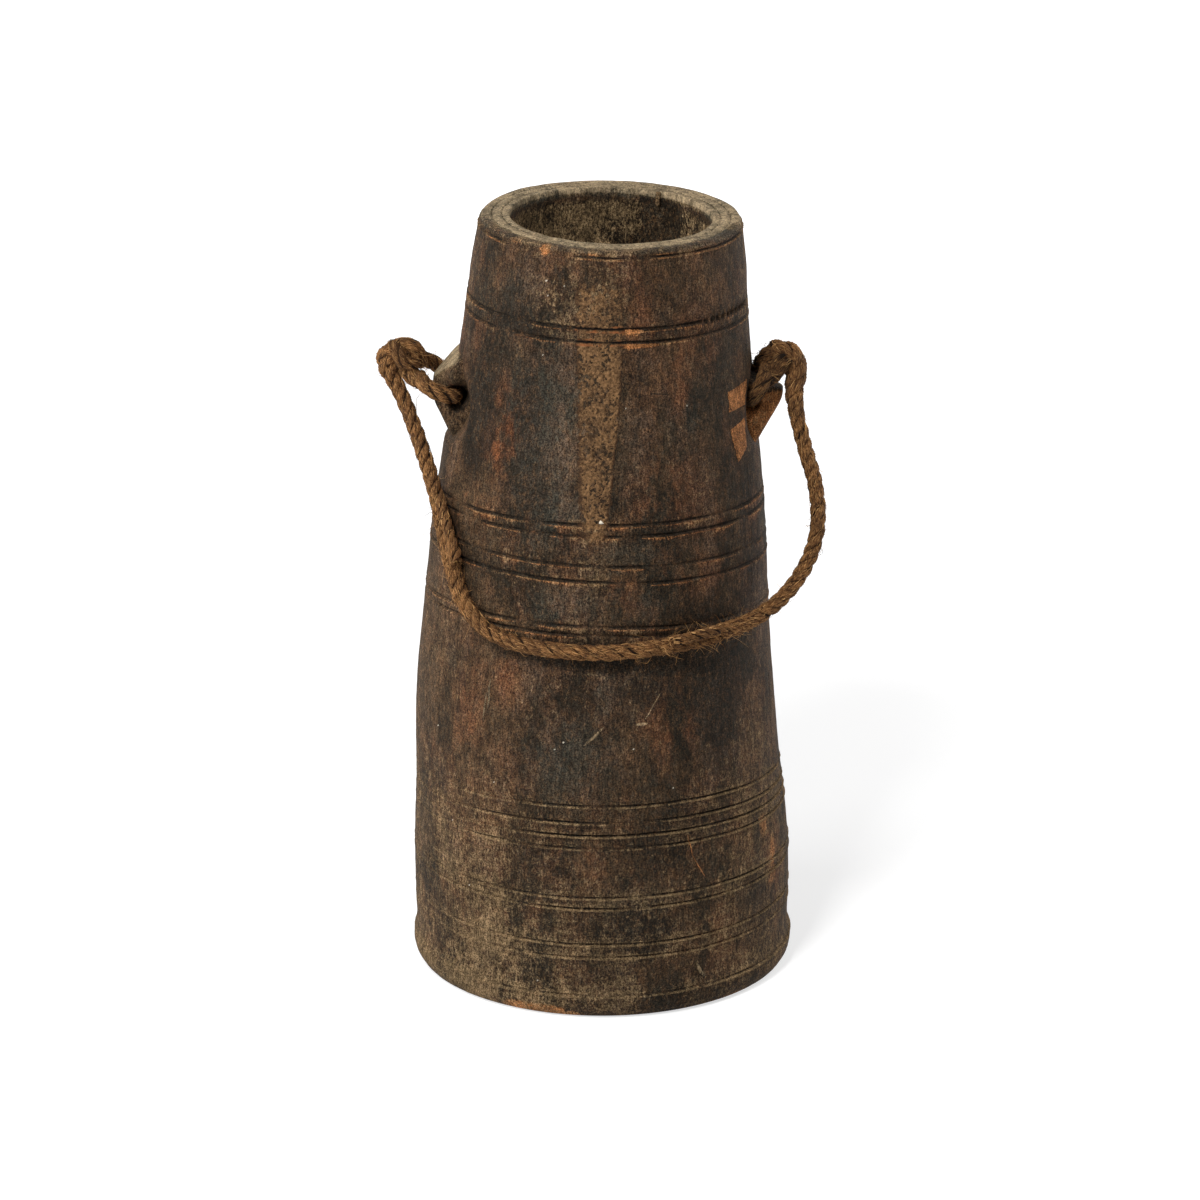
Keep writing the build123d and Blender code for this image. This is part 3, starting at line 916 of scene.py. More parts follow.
def gouged(points):
    """The wall near each lug is cut back by a hollow chisel: no point lies beyond a cylinder along Y.
    Each gouge has its side, its reach from the log's axis, the chisel's radius and its half width."""
    depth = np.zeros(points.shape[:-1])
    for name, (side, nearest, bend, half_width) in GOUGES.items():
        above = points[..., 2] - HOLE_HEIGHTS[name]
        limit = nearest + bend - np.sqrt(np.clip(bend**2 - above**2, 0, None))
        reach = side * (points[..., 0] - along_points(points[..., 2], LEAN))
        fade = step(half_width - np.abs(points[..., 1]), 0, 10)
        cut = np.where(np.abs(above) < bend, np.clip(reach - limit, 0, None), 0) * fade
        points[..., 0] -= side * cut
        depth += cut
    return depth


# %% [markdown]
# ## Rows and columns
# The skin needs points where there is detail. Rows crowd at each groove, and columns crowd over the front
# half, where most marks of use are.

# %% Rows and columns
ROW_GAP = 3.4
FRONT_COLUMNS, BACK_COLUMNS = 244, 84
GROOVE_ROWS = np.array([-1.7, -1.1, -0.65, -0.3, 0.05, 0.4, 0.8, 1.4])
FRONT_EDGE = 97.0
wall_rows = np.arange(1.4, HEIGHT - 4.0, ROW_GAP)
groove_rows = np.concatenate([middle + GROOVE_ROWS for middle, _, _ in GROOVES])
clear = np.abs(wall_rows[:, None] - groove_rows).min(1) > 1.3
wall_rows = np.sort(np.concatenate([wall_rows[clear], groove_rows]))
wall_rows = wall_rows[np.concatenate([[True], np.diff(wall_rows) > 0.2])]
front = np.linspace(-FRONT_EDGE, FRONT_EDGE, FRONT_COLUMNS, endpoint=False)
back = np.linspace(FRONT_EDGE, 360 - FRONT_EDGE, BACK_COLUMNS, endpoint=False)
directions = np.sort((np.concatenate([front, back]) + 180) % 360 - 180)
print(len(wall_rows), "rows on the wall,", len(directions), "columns round it")

# %% [markdown]
# ## Marks of use
# Chips, stains and dust are soft-edged ellipses on the wall, and so is the painted shadow of the bail. Each has
# a direction, a height, how wide and tall it is from its middle, and its strength. Heights above the rim's edge
# count on across the flat of the rim. A chip also has a depth, and cuts into the wood.

# %% Marks of use
CHIPS = [
    (-9.3, 336.0, 3.6, 1.8, 0.5, 1.4), (9.0, 335.6, 9.0, 0.9, 0.5, 0.7),
    (-10.0, 344.2, 8.0, 0.8, 0.45, 0.6), (9.0, 343.2, 7.0, 0.8, 0.45, 0.6),
    (-42.0, 307.0, 0.9, 4.0, 0.0, 0.9), (-30.0, 380.4, 3.4, 4.4, 0.5, 0.5),
    (-47.0, 380.5, 6.0, 2.4, 0.35, 0.5), (-62.0, 382.5, 4.0, 3.0, 0.3, 0.4),
    (-8.0, 380.0, 5.0, 1.6, 0.4, 0.3), (22.0, 380.0, 8.0, 1.6, 0.3, 0.3),
]
BARE = [
    (-20, 2.6, 20, 3.4, 0.85), (45, 2.2, 28, 1.8, 0.4), (61, 86, 5, 9, 0.42), (66, 72, 4, 7, 0.48),
    (65, 56, 5, 9, 0.4), (12, 336, 9, 1.4, 0.3), (-9, 345.6, 9, 1.2, 0.3),
]
RUST = [
    (-40, 292, 9, 18, 1.1), (-47, 280, 6, 14, 0.6), (-30, 172, 6, 12, 0.5), (-44, 155, 9, 24, 0.3),
    (25, 152, 12, 14, 0.45), (30, 172, 9, 8, 0.4), (67, 66, 7, 18, 0.7), (30, 315, 5, 12, 0.35),
    (26, 262, 16, 14, 0.35), (-12, 205, 12, 7, 0.25), (-55, 250, 14, 16, 0.3), (38, 335, 14, 20, 0.2),
    (-25, 60, 20, 14, 0.2), (12, 78, 20, 10, 0.25), (34, 42, 10, 10, 0.3), (-60, 330, 8, 24, 0.2),
    (10, 215, 12, 8, 0.15), (-84, 330, 10, 24, 0.25), (-5, 100, 60, 24, 0.12), (45, 80, 24, 30, 0.2),
    (-36, 296, 4, 10, 0.5), (25, 222, 30, 6, 0.3), (-20, 246, 30, 5, 0.35), (140, 120, 26, 40, 0.4),
    (-150, 230, 24, 30, 0.45), (120, 300, 16, 30, 0.4), (-125, 90, 24, 30, 0.35), (12, 356, 9, 16, 0.4),
]
GREY = [
    (-19, 290, 13, 40, 0.75), (-13, 256, 9, 7, 0.8), (-10, 209, 14, 9, 0.8), (2.5, 168, 4, 12, 0.7),
    (-33, 300, 12, 24, 0.35), (12, 283, 8, 20, 0.3), (-40, 352, 10, 14, 0.5), (8, 236, 16, 6, 0.4),
    (-7, 132, 20, 18, 0.6), (16, 210, 8, 8, 0.4), (30, 300, 10, 22, 0.3), (12, 60, 16, 14, 0.4),
    (150, 160, 30, 30, 0.4), (-130, 270, 20, 30, 0.4),
]
SOOT_AND_SHADOW = [
    (-30, 304, 14, 24, 0.34), (-24, 264, 14, 16, 0.3), (-6, 130, 24, 22, 0.2), (44, 274, 14, 18, 0.22),
    (-42, 350, 12, 18, 0.35), (18, 168, 18, 14, 0.3), (42, 158, 14, 26, 0.35), (34, 206, 20, 8, 0.3),
    (-44, 226, 10, 24, 0.25), (10, 345, 60, 4, 0.2), (-25, 80, 18, 12, 0.15), (14, 48, 14, 12, 0.25),
    (-10, 232, 18, 8, 0.25), (-57, 300, 14, 26, 0.42), (8, 30, 30, 26, 0.2), (22, 100, 30, 30, 0.2),
    # The long flat marks at 183 and 186 mm are the painted shadow of the bail on the wall below where it rests.
    (2, 183, 62, 4, 0.35), (-28, 341, 24, 2.6, 0.25), (30, 341, 26, 2.6, 0.25), (-52, 284, 12, 22, 0.3),
    (4, 70, 34, 24, 0.1), (45, 170, 24, 40, 0.2), (0, 168, 24, 14, 0.12), (20, 362, 20, 10, 0.25),
    (150, 200, 26, 30, 0.4), (-140, 320, 24, 26, 0.35), (-155, 130, 30, 26, 0.35), (125, 60, 30, 24, 0.3),
    (160, 340, 16, 14, 0.35), (8, 186, 70, 8, 0.15), (35, 8, 40, 8, 0.2),
]
DUST = [
    (-62, 70, 50, 90, 0.18), (-30, 22, 70, 22, 0.15), (15, 7, 120, 8, 0.3), (-78, 170, 24, 85, 0.25),
    (-18, 353, 18, 14, 0.5), (-6, 368, 12, 14, 0.5), (-1, 236, 7, 18, 0.3), (60, 95, 24, 30, 0.2),
    (30, 70, 40, 50, 0.1), (0, 389, 1200, 14, 1.0), (-25, 45, 40, 24, 0.05), (40, 45, 40, 30, 0.15),
    (78, 330, 20, 60, 0.25), (-80, 350, 12, 30, 0.35), (-55, 6, 50, 7, 0.3),
]


def mark(direction, height, middle, level, wide, tall, edge):
    """1 in the middle of an ellipse and 0 outside it, with an edge that wanders; edge is its softness."""
    across = (direction - middle) * DEGREE * along_points(height, OUTLINE) / wide
    up = (height - level) / tall
    wander = 0.35 * round_rough(direction, 150, height / 3, 401)
    return 1 - step(np.hypot(across, up) + wander, 1 - edge, 1 + edge)


def marks(direction, height, places, edge):
    """The sum of several marks at each point, each with its strength."""
    return sum(place[4] * mark(direction, height, *place[:4], edge) for place in places)


# %% [markdown]
# ## Vessel
# The skin runs from the middle of the bottom, out to the foot, up the wall, over the rim and down inside to
# the floor. Each row is a ring of points. The rim has a rounded lip, two worn turned lines, and a soft
# inner edge. Dust and a painted sheen make its flat pale, but its outer edge is worn brown at the front. Inside,
# a painted shade darkens the wall with depth, on its right side and beyond a seam.

# %% Vessel
BOTTOM = [(18, 1.4), (45, 1.3), (70, 1.0), (84, 0.4), (88.2, 0.0), (89.6, 0.5)]
TOP = HEIGHT + 1.3
RIM = [
    (62.6, 1.3), (62.2, 0.6), (61.7, 0.2), (60.8, 0.02), (59.4, 0.0), (58.2, 0.05), (57.6, 0.7),
    (57.0, 0.1), (55.0, 0.0), (53.4, 0.05), (52.8, 0.6), (52.2, 0.1), (50.8, 0.0), (49.7, 0.02),
    (49.3, 0.15), (49.05, 0.5), (48.9, 2.0),
]
RIM_LINES = [57.6, 52.8]
WORN_RIM = (57.2, 60.4)
RIM_WAVE = 0.4
DUST_EDGE, BARE_EDGE, SOOT_AND_SHADOW_EDGE, RUST_EDGE, GREY_EDGE = 0.95, 0.6, 0.75, 0.8, 0.7
LIP_BARE, LIP_RUST = 0.42, 0.7
# Soot and painted shade in the grooves, soot in the chips and in the rim's lines.
GROOVE_SHADE_AND_SOOT, CHIP_SOOT, RIM_LINE_SOOT = 0.45, 0.3, 0.9
RIM_SHEEN = 2.0
HOLLOW = [
    (22, 61), (24, 69), (30, 76), (40, 79.1), (150, 74.2), (250, 65.2), (300, 56.3), (335, MOUTH_RADIUS),
    (340, MOUTH_RADIUS), (380, MOUTH_RADIUS),
]
FLOOR_RADII = [50, 30, 12]
FLOOR_HEIGHT = 22.0
MOUTH_SEAM = 162.3
DARK_SIDE = 140.0
ADZE_DEPTH, ADZE_RIPPLE = 0.75, 0.3
CRACK_DEPTH, SLICE_DEPTH = 1.4, 0.8
INNER_CRACKS = [(MOUTH_SEAM, 1.0), (-140.0, 0.6), (172.0, 0.6), (128.0, 0.7), (-100.0, 0.8)]


def outer_rows():
    """Points from the wall's lowest row over the rim, and the dust, bare wood, soot, rust and grey there, with
    painted highlights on the lips, painted shade and shadow in the soot, and a painted sheen in the grey of the
    rim.
    """
    direction = directions[None, :]
    rim = np.array(RIM)
    height = np.concatenate([wall_rows, TOP - rim[:, 1]])[:, None]
    level = np.concatenate([wall_rows, TOP + rim[0, 0] - rim[:, 0]])[:, None]
    on_rim = (np.arange(len(level)) >= len(wall_rows))[:, None]
    radius, depth, lip = wall_radius(direction, level)
    rim_wave = RIM_WAVE * round_rough(direction, 30, level / 6, 501)
    rim_radius = np.concatenate([0 * wall_rows, rim[:, 0]])[:, None] + 0.7 * rim_wave
    chips = [(place, mark(direction, level, *place[:4], 0.25)) for place in CHIPS]
    cut = sum(place[5] * share for place, share in chips)
    radius = np.where(on_rim, rim_radius, radius - cut)
    points = on_log(direction, height + np.where(on_rim, 0.5 * rim_wave - 0.7 * cut, 0), radius)
    gouge = gouged(points)
    ridge = TOP + rim[0, 0] - level
    facing = step(np.cos(direction * DEGREE), -0.1, 0.5)
    worn_edge = step(ridge, *WORN_RIM) * step(level, 364, 374) * facing
    low = (0.44 * step(190 - level, 0, 120) - 0.25) * (1 - on_rim)
    drift = 0.4 * round_rough(direction, 12, level / 45, 411)
    # Dust and a painted highlight on the lips beside each groove, more of both low on the wall.
    dust_and_painted_light = (0.7 + 0.5 * step(150 - level, 0, 40)) * lip + low + drift + 0.1 * step(gouge, 0.2, 2)
    dust_and_painted_light = dust_and_painted_light + marks(direction, level, DUST, DUST_EDGE) - 0.5 * worn_edge
    bare = sum(place[4] * share for place, share in chips) + marks(direction, level, BARE, BARE_EDGE)
    bare = bare + LIP_BARE * step(lip, 0.35, 0.9) * step(level, 170, 190) * (1 - on_rim)
    # A little darker low on the wall; soot and a painted shade in the grooves.
    soot_and_shade = 0.08 * step(150 - level, 0, 70) + GROOVE_SHADE_AND_SOOT * step(depth, 0.3, 0.9)
    soot_and_shade = soot_and_shade + CHIP_SOOT * step(cut, 0.5, 1.2)
    soot_and_shade = soot_and_shade + marks(direction, level, SOOT_AND_SHADOW, SOOT_AND_SHADOW_EDGE)
    soot_and_shade = soot_and_shade + RIM_LINE_SOOT * sum(np.abs(ridge - line) < 0.3 for line in RIM_LINES) * on_rim
    rust = LIP_RUST * step(lip, 0.3, 1.1) + marks(direction, level, RUST, RUST_EDGE) + 0.05 * worn_edge
    # On the rim the grey number paints a pale sheen, weaker on the worn outer edge.
    grey = marks(direction, level, GREY, GREY_EDGE) * (1 - on_rim) + RIM_SHEEN * on_rim
    grey = grey * (1 - 0.75 * worn_edge)
    return points, stacked(dust_and_painted_light, bare, soot_and_shade), stacked(rust, grey, 0)


def inner_rows():
    """Points from below the rim down the rough hollow to the floor, and the same numbers there."""
    direction = directions[None, :]
    mouth = np.arange(TOP - 5.2, 335, -2.2)
    rows = np.concatenate([mouth, np.arange(330, 45, -12.0), [40, 34, 29, 25, 23, FLOOR_HEIGHT]])[:, None]
    adze = ADZE_DEPTH * round_rough(direction, 40, rows / 40, 511)
    adze = adze + ADZE_RIPPLE * round_rough(direction, 130, rows / 4, 521)
    lines = [
        width * np.exp(-(((direction - place + 1.2 * rough(rows / 14, place, 531)) / width) ** 2))
        for place, width in INNER_CRACKS
    ]
    cracks = sum(lines)
    beyond = step(direction, DARK_SIDE - 6, DARK_SIDE) * step(MOUTH_SEAM - direction, 0, 0.8)
    settle = step(TOP - rows, 4, 9)
    radius = along_points(rows, HOLLOW) + settle * (adze + CRACK_DEPTH * cracks + SLICE_DEPTH * beyond)
    points = on_log(direction, rows + 0 * direction, radius)
    floor_radius = np.array(FLOOR_RADII)[:, None] + 0 * direction
    floor = on_log(direction, FLOOR_HEIGHT + 0 * floor_radius, floor_radius)
    # Painted shade inside: the wall darkens with depth, on its right side and beyond the seam, through more
    # soot-and-shade and less dust; the cracks are dark too.
    deep_shade = step(TOP - rows, 10, 70)
    right_side_shade = step(MOUTH_SEAM - direction, 0, 1) * step(direction, 20, 60)
    patches = 0.9 * round_rough(direction, 30, rows / 9, 541)
    soot_and_shade = 0.2 * deep_shade + 0.25 * right_side_shade + 0.5 * beyond + 0.8 * cracks - 0.3 * patches
    dust_and_painted_light = (1.0 + 1.3 * patches - 0.4 * deep_shade - 0.55 * right_side_shade - 0.7 * beyond) * step(TOP - rows, 5, 9)
    wear = stacked(dust_and_painted_light, 0, soot_and_shade)
    stain = stacked(0, 0, settle + 0 * soot_and_shade)
    wear, stain = (np.concatenate([part, np.repeat(part[-1:], len(floor), axis=0)]) for part in (wear, stain))
    return np.concatenate([points, floor]), wear, stain


def vessel_piece():
    """Bottom, wall, rim, hollow and floor as one skin."""
    bottom = np.array(BOTTOM)[:, :, None]
    under = on_log(directions, bottom[:, 1] + 0 * directions, bottom[:, 0] + 0 * directions)
    outer, inner = outer_rows(), inner_rows()
    points = np.concatenate([under, outer[0], inner[0]])
    wear, stain = (
        np.concatenate([np.repeat(outside[:1], len(BOTTOM), axis=0), outside, within])
        for outside, within in zip(outer[1:], inner[1:])
    )
    wood_skin("vessel_wood", points, wear, stain)


vessel_piece()

# %% [markdown]
# ## Pierced lugs
# Each lug was left standing when the wall was cut back, and then pierced from front to back. A pierced
# block is a ring round its hole: for each direction round the hole, a rounded section runs from the hole's
# wall to the lug's outer face. Cut faces are straight lines in the side view, softly joined. The left lug's
# top face is a clean flat cut that widens to the front, and the right lug's lower part has lost its skin.

# %% Pierced lugs
HOLE_RADIUS = 5.4
HOLE_REACH = 71.0
LUG_FACES = {
    "left": [(0, 12.0), (41.6, 14.6), (-27.8, 11.8), (180, 13.0), (90, 23.0), (-90, 23.0)],
    "right": [(0, 16.5), (72.4, 9.1), (-29.5, 14.6), (180, 13.0), (90, 22.0), (-90, 27.0)],
}
LUG_TIPS = {"left": 12.0, "right": 17.5}
LUG_FLARES = {"left": 8.5, "right": 0.0}
# Each lug's dust and painted top light on its top face, the share of skin lost below, and its rust.
LUG_LOOKS = {"left": (1.1, 2.0, 0.0, 0.1), "right": (0.1, 0.0, 0.62, 0.3)}
WHITTLED, SCRAPED = 0.5, 0.2
ROOT_HALF, TIP_HALF = 12.0, 5.0
LUG_RINGS, LUG_SIDES = 120, 60
FACE_SHARPNESS = 18
SECTION_POWER = 0.4


def lug(name, side, seed):
    """Rings round the hole: out to the nearest of the lug's cut faces, and thinner towards the tip.
    Its looks are the dust and painted top light of its top face, the skin lost below, its rust, and painted shade
    in the hole."""
    turn = full_turn(LUG_RINGS)[:, None]
    section = full_turn(LUG_SIDES)[None, :]
    angles, gaps = np.array(LUG_FACES[name]).T
    nearness = np.clip(np.cos(turn - angles * DEGREE) / gaps, 0, None)
    outer = (nearness**FACE_SHARPNESS).sum(1, keepdims=True) ** (-1 / FACE_SHARPNESS)
    share = np.sign(np.cos(section)) * np.abs(np.cos(section)) ** SECTION_POWER
    across = np.sign(np.sin(section)) * np.abs(np.sin(section)) ** SECTION_POWER
    hole = HOLE_RADIUS - 1.0 - 0.9 * across - 1.4 * step(across, 0, 0.9)
    from_hole = (hole + outer) / 2 + (outer - hole) / 2 * share
    whittled = WHITTLED * rough(turn * 3 + section, section * 2, seed)
    whittled = whittled + SCRAPED * rough(turn * 14, section * 9, seed + 4)
    from_hole = from_hole + 0.4 * whittled
    out, up = from_hole * np.cos(turn), from_hole * np.sin(turn)
    flare = LUG_FLARES[name] * step(up, 3, 13) * (across < 0)
    root = ROOT_HALF + flare
    half = root + (TIP_HALF - root) * step(out, 0, LUG_TIPS[name])
    height = HOLE_HEIGHTS[name] + up
    x = side * (HOLE_REACH + out) + along_points(height, LEAN)
    points = stacked(x, half * across + 0.3 * whittled, height)
    top_face = step(nearness[:, 1:2] * outer, 0.95, 0.99) * step(share, 0.75, 0.97)
    low_face = step(-np.sin(turn), -0.1, 0.5) * step(share, -0.3, 0.5)
    top_dust, top_painted_light, lost_skin, rust = LUG_LOOKS[name]
    bare = lost_skin * np.maximum(low_face, step(-up, -7, -1) * (across < 0))
    # Painted shade on the hole's wall, on the side of each section that faces the hole.
    soot_and_shade = 0.6 * step(-share, 0.5, 0.98)
    wear = stacked(0.3 + top_dust * top_face, bare, soot_and_shade)
    stain = stacked(rust, top_painted_light * top_face, 0)
    if side < 0:
        points, wear, stain = points[:, ::-1], wear[:, ::-1], stain[:, ::-1]
    wood_skin(f"{name}_lug", points, wear, stain, ring=True)


lug("left", -1, 601)
lug("right", 1, 611)

# %% [markdown]
# ## Fresh cuts
# Beside the right lug a chisel took off two slices and left bare wood with straight edges. Each is a patch
# with four corners that follows the smooth wall and stands a hair above it, with its back inside the wood.

# %% Fresh cuts
CUTS = [
    [(55.4, 306.4), (73.0, 308.0), (68.3, 296.6), (55.2, 296.4)],
    [(55.0, 287.6), (66.6, 290.4), (66.0, 276.0), (58.6, 271.0)],
]
PEELED = (-1.0, 0.5, 0.0)
CUT_LIFT = 0.2
CUT_DEPTH = 1.5
CUT_ROWS, CUT_COLUMNS = 40, 24


def cut_grid(corners):
    """A patch between four corners on the wall: rows go up, and each runs along the front and back again."""
    top_left, top_right, low_right, low_left = np.array(corners)
    up = np.linspace(0, 1, CUT_ROWS)[:, None, None]
    across = np.linspace(0, 1, CUT_COLUMNS)[None, :, None]
    flat = (1 - up) * ((1 - across) * low_left + across * low_right)
    flat = flat + up * ((1 - across) * top_left + across * top_right)
    ragged = 0.5 * rough(flat[..., 0] * 0.8, flat[..., 1] / 2, 801)
    direction = flat[..., 0] + ragged * (np.abs(across[..., 0] - 0.5) > 0.45)
    height = flat[..., 1]
    radius = smooth_wall(direction, height)
    front_points = on_log(direction, height, radius + CUT_LIFT)
    back_points = on_log(direction, height, radius - CUT_DEPTH)
    points = np.concatenate([front_points, back_points[:, ::-1]], axis=1)
    gouged(points)
    return points


cut_points = np.stack([cut_grid(corners) for corners in CUTS])
wood_skin("fresh_cuts", cut_points, np.array(PEELED) + 0 * cut_points, 0 * cut_points)

# %% [markdown]
# ## Filled crack
# The filler is a rough paste of wood dust that was pressed into a crack. It follows the wall, stands a
# little proud of it, and sinks below it at its edges, so the wall itself draws the edge.

# %% Filled crack
FILLER_LOW, FILLER_HIGH = 232, 372
FILLER_LEFT = [(232, -4.5), (250, -7.8), (277, -9.8), (325, -12.8), (345, -14.2), (372, -16.4)]
FILLER_RIGHT = [(232, 1.4), (250, 3.2), (277, 4.9), (325, 7.0), (345, 7.0), (372, 4.6)]
FILLER_DEPTH = 2.2
GRAIN_HEIGHT, LUMP_HEIGHT, WAVE_LIFT = 0.8, 0.55, 0.3
FILLER_ROWS, FILLER_COLUMNS = 260, 64


def filler_finish():
    """Filler: sandy brown grains, with dark pits between them."""
    material, tree, shader = new_finish("crack_filler", 0.92, 0.12)
    place = object_place(tree)
    grains = noise(place, 820, 5, 0.76)
    lumps = noise(place, 380, 4, 0.7)
    clouds = noise(place, 70, 5, 0.66)
    middle, cracked, torn = masks(tree, "wear")
    colour = mixed(eased(clouds, 0.38, 0.64), tone(104, 78, 54), tone(138, 104, 70))
    colour = painted(colour, eased(grains, 0.5, 0.62, 0, 0.7), 180, 138, 94)
    colour = painted(colour, eased(grains, 0.48, 0.4, 0, 0.66), 54, 40, 28)
    colour = painted(colour, eased(lumps, 0.42, 0.36, 0, 0.8), 32, 24, 17)
    colour = mixed(eased(added(middle, grains), 0.55, 1.15), tone(70, 50, 35), colour)
    colour = painted(colour, torn, 160, 98, 58)
    colour = painted(colour, cracked, 26, 20, 15)
    put(colour, shader.inputs["Base Color"])
    bumped(shader, added(grains, times(lumps, 2)), 0.002, 1)
    return material


def filler_piece():
    """A strip of the wall between two edges, with a rough front and a flat back inside the wall."""
    height = np.linspace(FILLER_LOW, FILLER_HIGH, FILLER_ROWS)[:, None]
    share = np.linspace(0, 1, FILLER_COLUMNS)[None, :]
    left, right = along_points(height, FILLER_LEFT), along_points(height, FILLER_RIGHT)
    direction = left + (right - left) * share
    radius, depth, lip = wall_radius(direction, height)
    grain = GRAIN_HEIGHT * rough(direction * 1.3, height, 701)
    grain = grain + WAVE_LIFT * rough(direction / 4, height / 7, 711)
    grain = grain + LUMP_HEIGHT * rough(direction / 1.8, height / 2.2, 741)
    edge = np.minimum(share * 0.6, 1 - share) * (right - left) + 0.6 * rough(direction / 2, height / 3, 721)
    from_end = np.minimum(height - FILLER_LOW, FILLER_HIGH - height)
    proud = 0.55 * step(edge, 0.1, 1.3) * step(from_end, 0, 14) - 0.35
    low_grooves = step(300 - height, 0, 10)
    lift = proud + 0.7 * low_grooves * depth + grain * step(edge, 0, 1.5) * step(from_end, 0, 8)
    front_points = on_log(direction, height, radius + lift)
    back_points = on_log(direction, height, radius - FILLER_DEPTH)
    points = np.concatenate([front_points, back_points[:, ::-1]], axis=1)
    middle = step(edge, 0.2, 3.2) * step(from_end, 0, 20)
    cracked = (1 - low_grooves) * step(depth, 0.25, 0.7)
    ragged = lip + 0.7 * rough(direction / 1.6, height / 1.4, 731)
    torn = (1 - low_grooves) * step(ragged, 0.4, 0.9) * 0.9
    wear = stacked(middle, cracked, torn)
    wear = np.concatenate([wear, wear[:, ::-1]], axis=1)
    skin("filled_crack", points, "pail", "crack_filler", "crack_filler", filler_finish(), wear=wear)


filler_piece()

# %% [markdown]
# ## Cracks, slivers and flecks
# Fine drying cracks run up the wall, slivers of wood stand on it, a coarse fibre sticks to it, and a few
# flecks are pale. Each is a thin strip along the wall, round in section, from one place to another.

# %% Cracks, slivers and flecks
CRACKED = (0.0, 0.0, 1.4)
TORN = (0.0, 1.2, 0.0)
DUSTY = (0.8, 0.3, 0.0)
STRIPS = [
    (74, 264, 67, 196, 0.28, 0.1, CRACKED), (67.7, 261, 63.4, 203, 0.24, 0.1, CRACKED),
    (77, 165, 74, 109, 0.3, 0.1, CRACKED), (66, 272, 64.5, 246, 0.3, 0.1, CRACKED),
    (60.5, 270, 60, 252, 0.25, 0.1, CRACKED), (-70, 284, -71, 266, 0.35, 0.1, CRACKED),
    (-66, 276, -66.5, 262, 0.3, 0.1, CRACKED), (-60, 297, -62, 286, 0.3, 0.1, CRACKED),
    (17.5, 313, 27, 311.5, 0.3, 0.1, CRACKED), (-52, 246, -53, 232, 0.25, 0.1, CRACKED),
    (165, 336, 168, 238, 0.4, 0.1, CRACKED), (-140, 188, -143, 96, 0.4, 0.1, CRACKED),
    (118, 94, 116, 40, 0.35, 0.1, CRACKED), (-118, 320, -120, 268, 0.3, 0.1, CRACKED),
    (-3.8, 141.2, 2.5, 150.4, 0.7, 0.5, DUSTY), (12.7, 151.6, 16.6, 152.0, 0.8, 0.5, DUSTY),
    (30.1, 24.2, 32.6, 16.6, 1.0, 0.9, DUSTY), (-36, 169, -36.6, 154, 0.6, 0.3, DUSTY),
    (-37.2, 162, -38.2, 148, 0.5, 0.3, DUSTY), (21, 167, 15.6, 154, 0.25, 0.15, DUSTY),
    (28, 93.1, 29.3, 81.4, 0.2, 0.3, TORN), (29.3, 81.6, 33.6, 68.6, 0.2, 0.3, TORN),
]
FLECKS = [
    (0.1, 251.4, 1.5), (-10.4, 142.3, 0.45), (-13.2, 138.4, 0.3), (11.5, 139.6, 0.35),
    (-27.3, 364.8, 0.5), (-26, 358, 0.3), (-19, 363.5, 0.3), (-44, 60, 0.35), (-20, 18, 0.3),
    (-52, 92, 0.3), (33, 305, 0.25), (-26, 330, 0.3), (8, 306, 0.25), (-34, 118, 0.3), (24, 118, 0.25),
    (-60, 138, 0.35),
]
STRIP_ROWS, STRIP_SIDES = 36, 8
STRIP_WANDER = 0.5
PALE_STRIP = (0.0, 1.45, 0.0)


def strip(start, start_height, end, end_height, wide, lift):
    """Rings along the wall from one place to another: wide sideways, low outwards, and thin at both ends."""
    t = np.linspace(0, 1, STRIP_ROWS)[:, None]
    turn = full_turn(STRIP_SIDES)[None, :]
    per_degree = DEGREE * along_points((start_height + end_height) / 2, OUTLINE)
    run, rise = unit(np.array([(end - start) * per_degree, end_height - start_height]))
    taper = np.sin(np.pi * (0.02 + 0.96 * t)) ** 0.5
    wander = STRIP_WANDER * rough(t * (1 + abs(end_height - start_height) / 9), start, 901)
    sideways = wide * taper * np.cos(turn) + wander * taper
    direction = start + (end - start) * t - rise * sideways / per_degree
    height = start_height + (end_height - start_height) * t + run * sideways
    radius = wall_radius(direction, height)[0] + lift * taper * (np.sin(turn) + 0.3)
    points = on_log(direction, height, radius)
    gouged(points)
    return points


def fleck_finish():
    """Pale flecks of plaster or paint."""
    material, _, shader = new_finish("pale_fleck", 0.8, 0.2)
    shader.inputs["Base Color"].default_value = tone(196, 186, 168)
    return material


strip_points = np.stack([strip(*place[:6]) for place in STRIPS])
strip_wear = np.array([place[6] for place in STRIPS])[:, None, None] + 0 * strip_points
pale_strip = np.array([place[6] == DUSTY for place in STRIPS])[:, None, None, None]
strip_stain = np.array(PALE_STRIP) * pale_strip + 0 * strip_points
wood_skin("wall_strips", strip_points, strip_wear, strip_stain)
fleck_points = np.stack([
    strip(direction, height - size, direction + 0.4, height + size, 0.8 * size, 0.35)
    for direction, height, size in FLECKS
])
skin("pale_flecks", fleck_points, "pail", "vessel", "aged_wood", fleck_finish())

# %% [markdown]
# ## Splinter in the mouth
# A splinter hangs from the rim's inner edge at the back: a thin peg, a little bent.

# %% Splinter in the mouth
SPLINTER = [(28.6, 43.6, 380.2), (28.4, 42.4, 377.5), (28.2, 41.8, 374.8), (28.4, 41.6, 373.0)]
SPLINTER_RADII = [1.5, 1.4, 1.1, 0.5]
SPLINTER_SIDES = 10


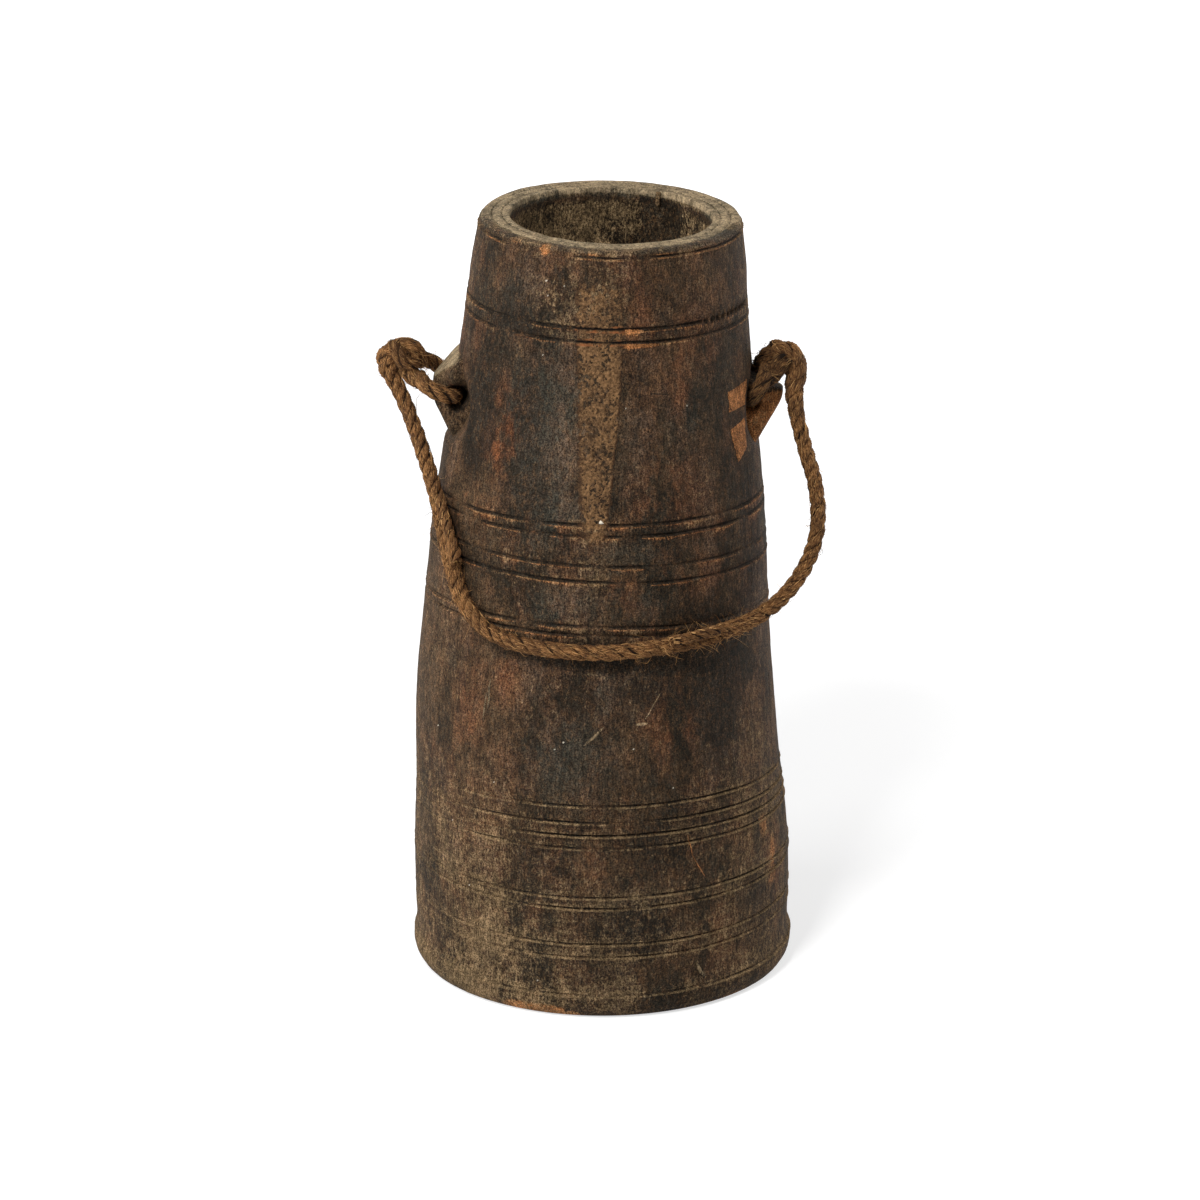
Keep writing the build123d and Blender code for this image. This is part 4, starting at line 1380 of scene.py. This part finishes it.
def splinter_piece():
    """Rings round a short bent line."""
    line = np.array(SPLINTER)
    _, normal, across = carried_frames(line)
    spoke = spokes(full_turn(SPLINTER_SIDES), normal[:, None], across[:, None])
    points = line[:, None] + np.array(SPLINTER_RADII)[:, None, None] * spoke
    wood_skin("rim_splinter", points, np.array(DUSTY) + 0 * points, 0 * points)


splinter_piece()

# %% [markdown]
# ## Light, floor and background
# The main lamp stands high in front, on the left, and two large soft boxes stand at the sides, as in a
# plain studio, the right one a little behind. The floor is white to the camera and still takes the vessel's
# shadow.

# %% Studio
def softbox(name, place, aim, size, watts):
    """A square lamp that faces a point."""
    data = bpy.data.lights.new(name, "AREA")
    data.size = size
    data.energy = watts
    lamp = placed(name, data)
    lamp.location = place
    to_aim = [a - p for a, p in zip(aim, place)]
    yaw = math.atan2(to_aim[0], to_aim[1])
    pitch = math.atan2(to_aim[2], math.hypot(to_aim[0], to_aim[1]))
    lamp.rotation_euler = (pitch + math.pi / 2, 0, -yaw)


MIDDLE = (0, 0, 0.2)
EVEN_LIGHT = 0.2
FLOOR_SIDES = 96
FLOOR_REACH = 8
softbox("key_box", (-0.6, -1.4, 1.8), MIDDLE, 0.5, 44)
softbox("left_box", (-1.7, -0.5, 0.8), MIDDLE, 1.1, 22)
softbox("right_box", (1.3, 0.9, 0.8), MIDDLE, 1.1, 17)


def white_to_camera(tree):
    """1 for rays from the camera, straight, mirrored or through glass, and 0 for the light's bounces."""
    path = tree.nodes.new("ShaderNodeLightPath").outputs
    return larger(larger(path["Is Camera Ray"], path["Is Glossy Ray"]), path["Is Transmission Ray"])


def studio_world():
    """A white background, with a weaker even light on the vessel."""
    world = bpy.data.worlds.new("studio")
    bpy.context.scene.world = world
    world.use_nodes = True
    tree = world.node_tree
    background = tree.nodes["Background"].inputs
    background["Color"].default_value = (1, 1, 1, 1)
    put(eased(white_to_camera(tree), 0, 1, EVEN_LIGHT, 1), background["Strength"])


def dull(tree, level):
    """A plain grey shader."""
    node = tree.nodes.new("ShaderNodeBsdfDiffuse")
    node.inputs["Color"].default_value = (level, level, level, 1)
    return node.outputs["BSDF"]


def studio_floor():
    """A wide flat floor: pale to the light, white with a soft shadow to the camera."""
    mesh = bpy.data.meshes.new("floor")
    turn = full_turn(FLOOR_SIDES)
    edge = FLOOR_REACH * stacked(np.cos(turn), np.sin(turn), 0)
    mesh.from_pydata(edge.tolist(), [], [list(range(FLOOR_SIDES))])
    floor = placed("floor", mesh)
    material, tree, shader = new_finish("studio_floor", 0.9, 0.2)
    tree.nodes.remove(shader)
    away = tree.nodes.new("ShaderNodeVectorMath")
    away.operation = "LENGTH"
    put(object_place(tree), away.inputs[0])
    glow = tree.nodes.new("ShaderNodeEmission")
    put(eased(away.outputs["Value"], 0.4, 1.6, 0.62, 1), glow.inputs["Strength"])
    both = tree.nodes.new("ShaderNodeAddShader")
    put(dull(tree, 0.5), both.inputs[0])
    put(glow.outputs["Emission"], both.inputs[1])
    choose = tree.nodes.new("ShaderNodeMixShader")
    put(white_to_camera(tree), choose.inputs["Fac"])
    put(dull(tree, 0.75), choose.inputs[1])
    put(both.outputs["Shader"], choose.inputs[2])
    put(choose.outputs["Shader"], tree.nodes["Material Output"].inputs["Surface"])
    mesh.materials.append(material)


studio_world()
studio_floor()
bpy.context.scene.view_settings.view_transform = "Standard"
print("three lamps, a floor and a white background")
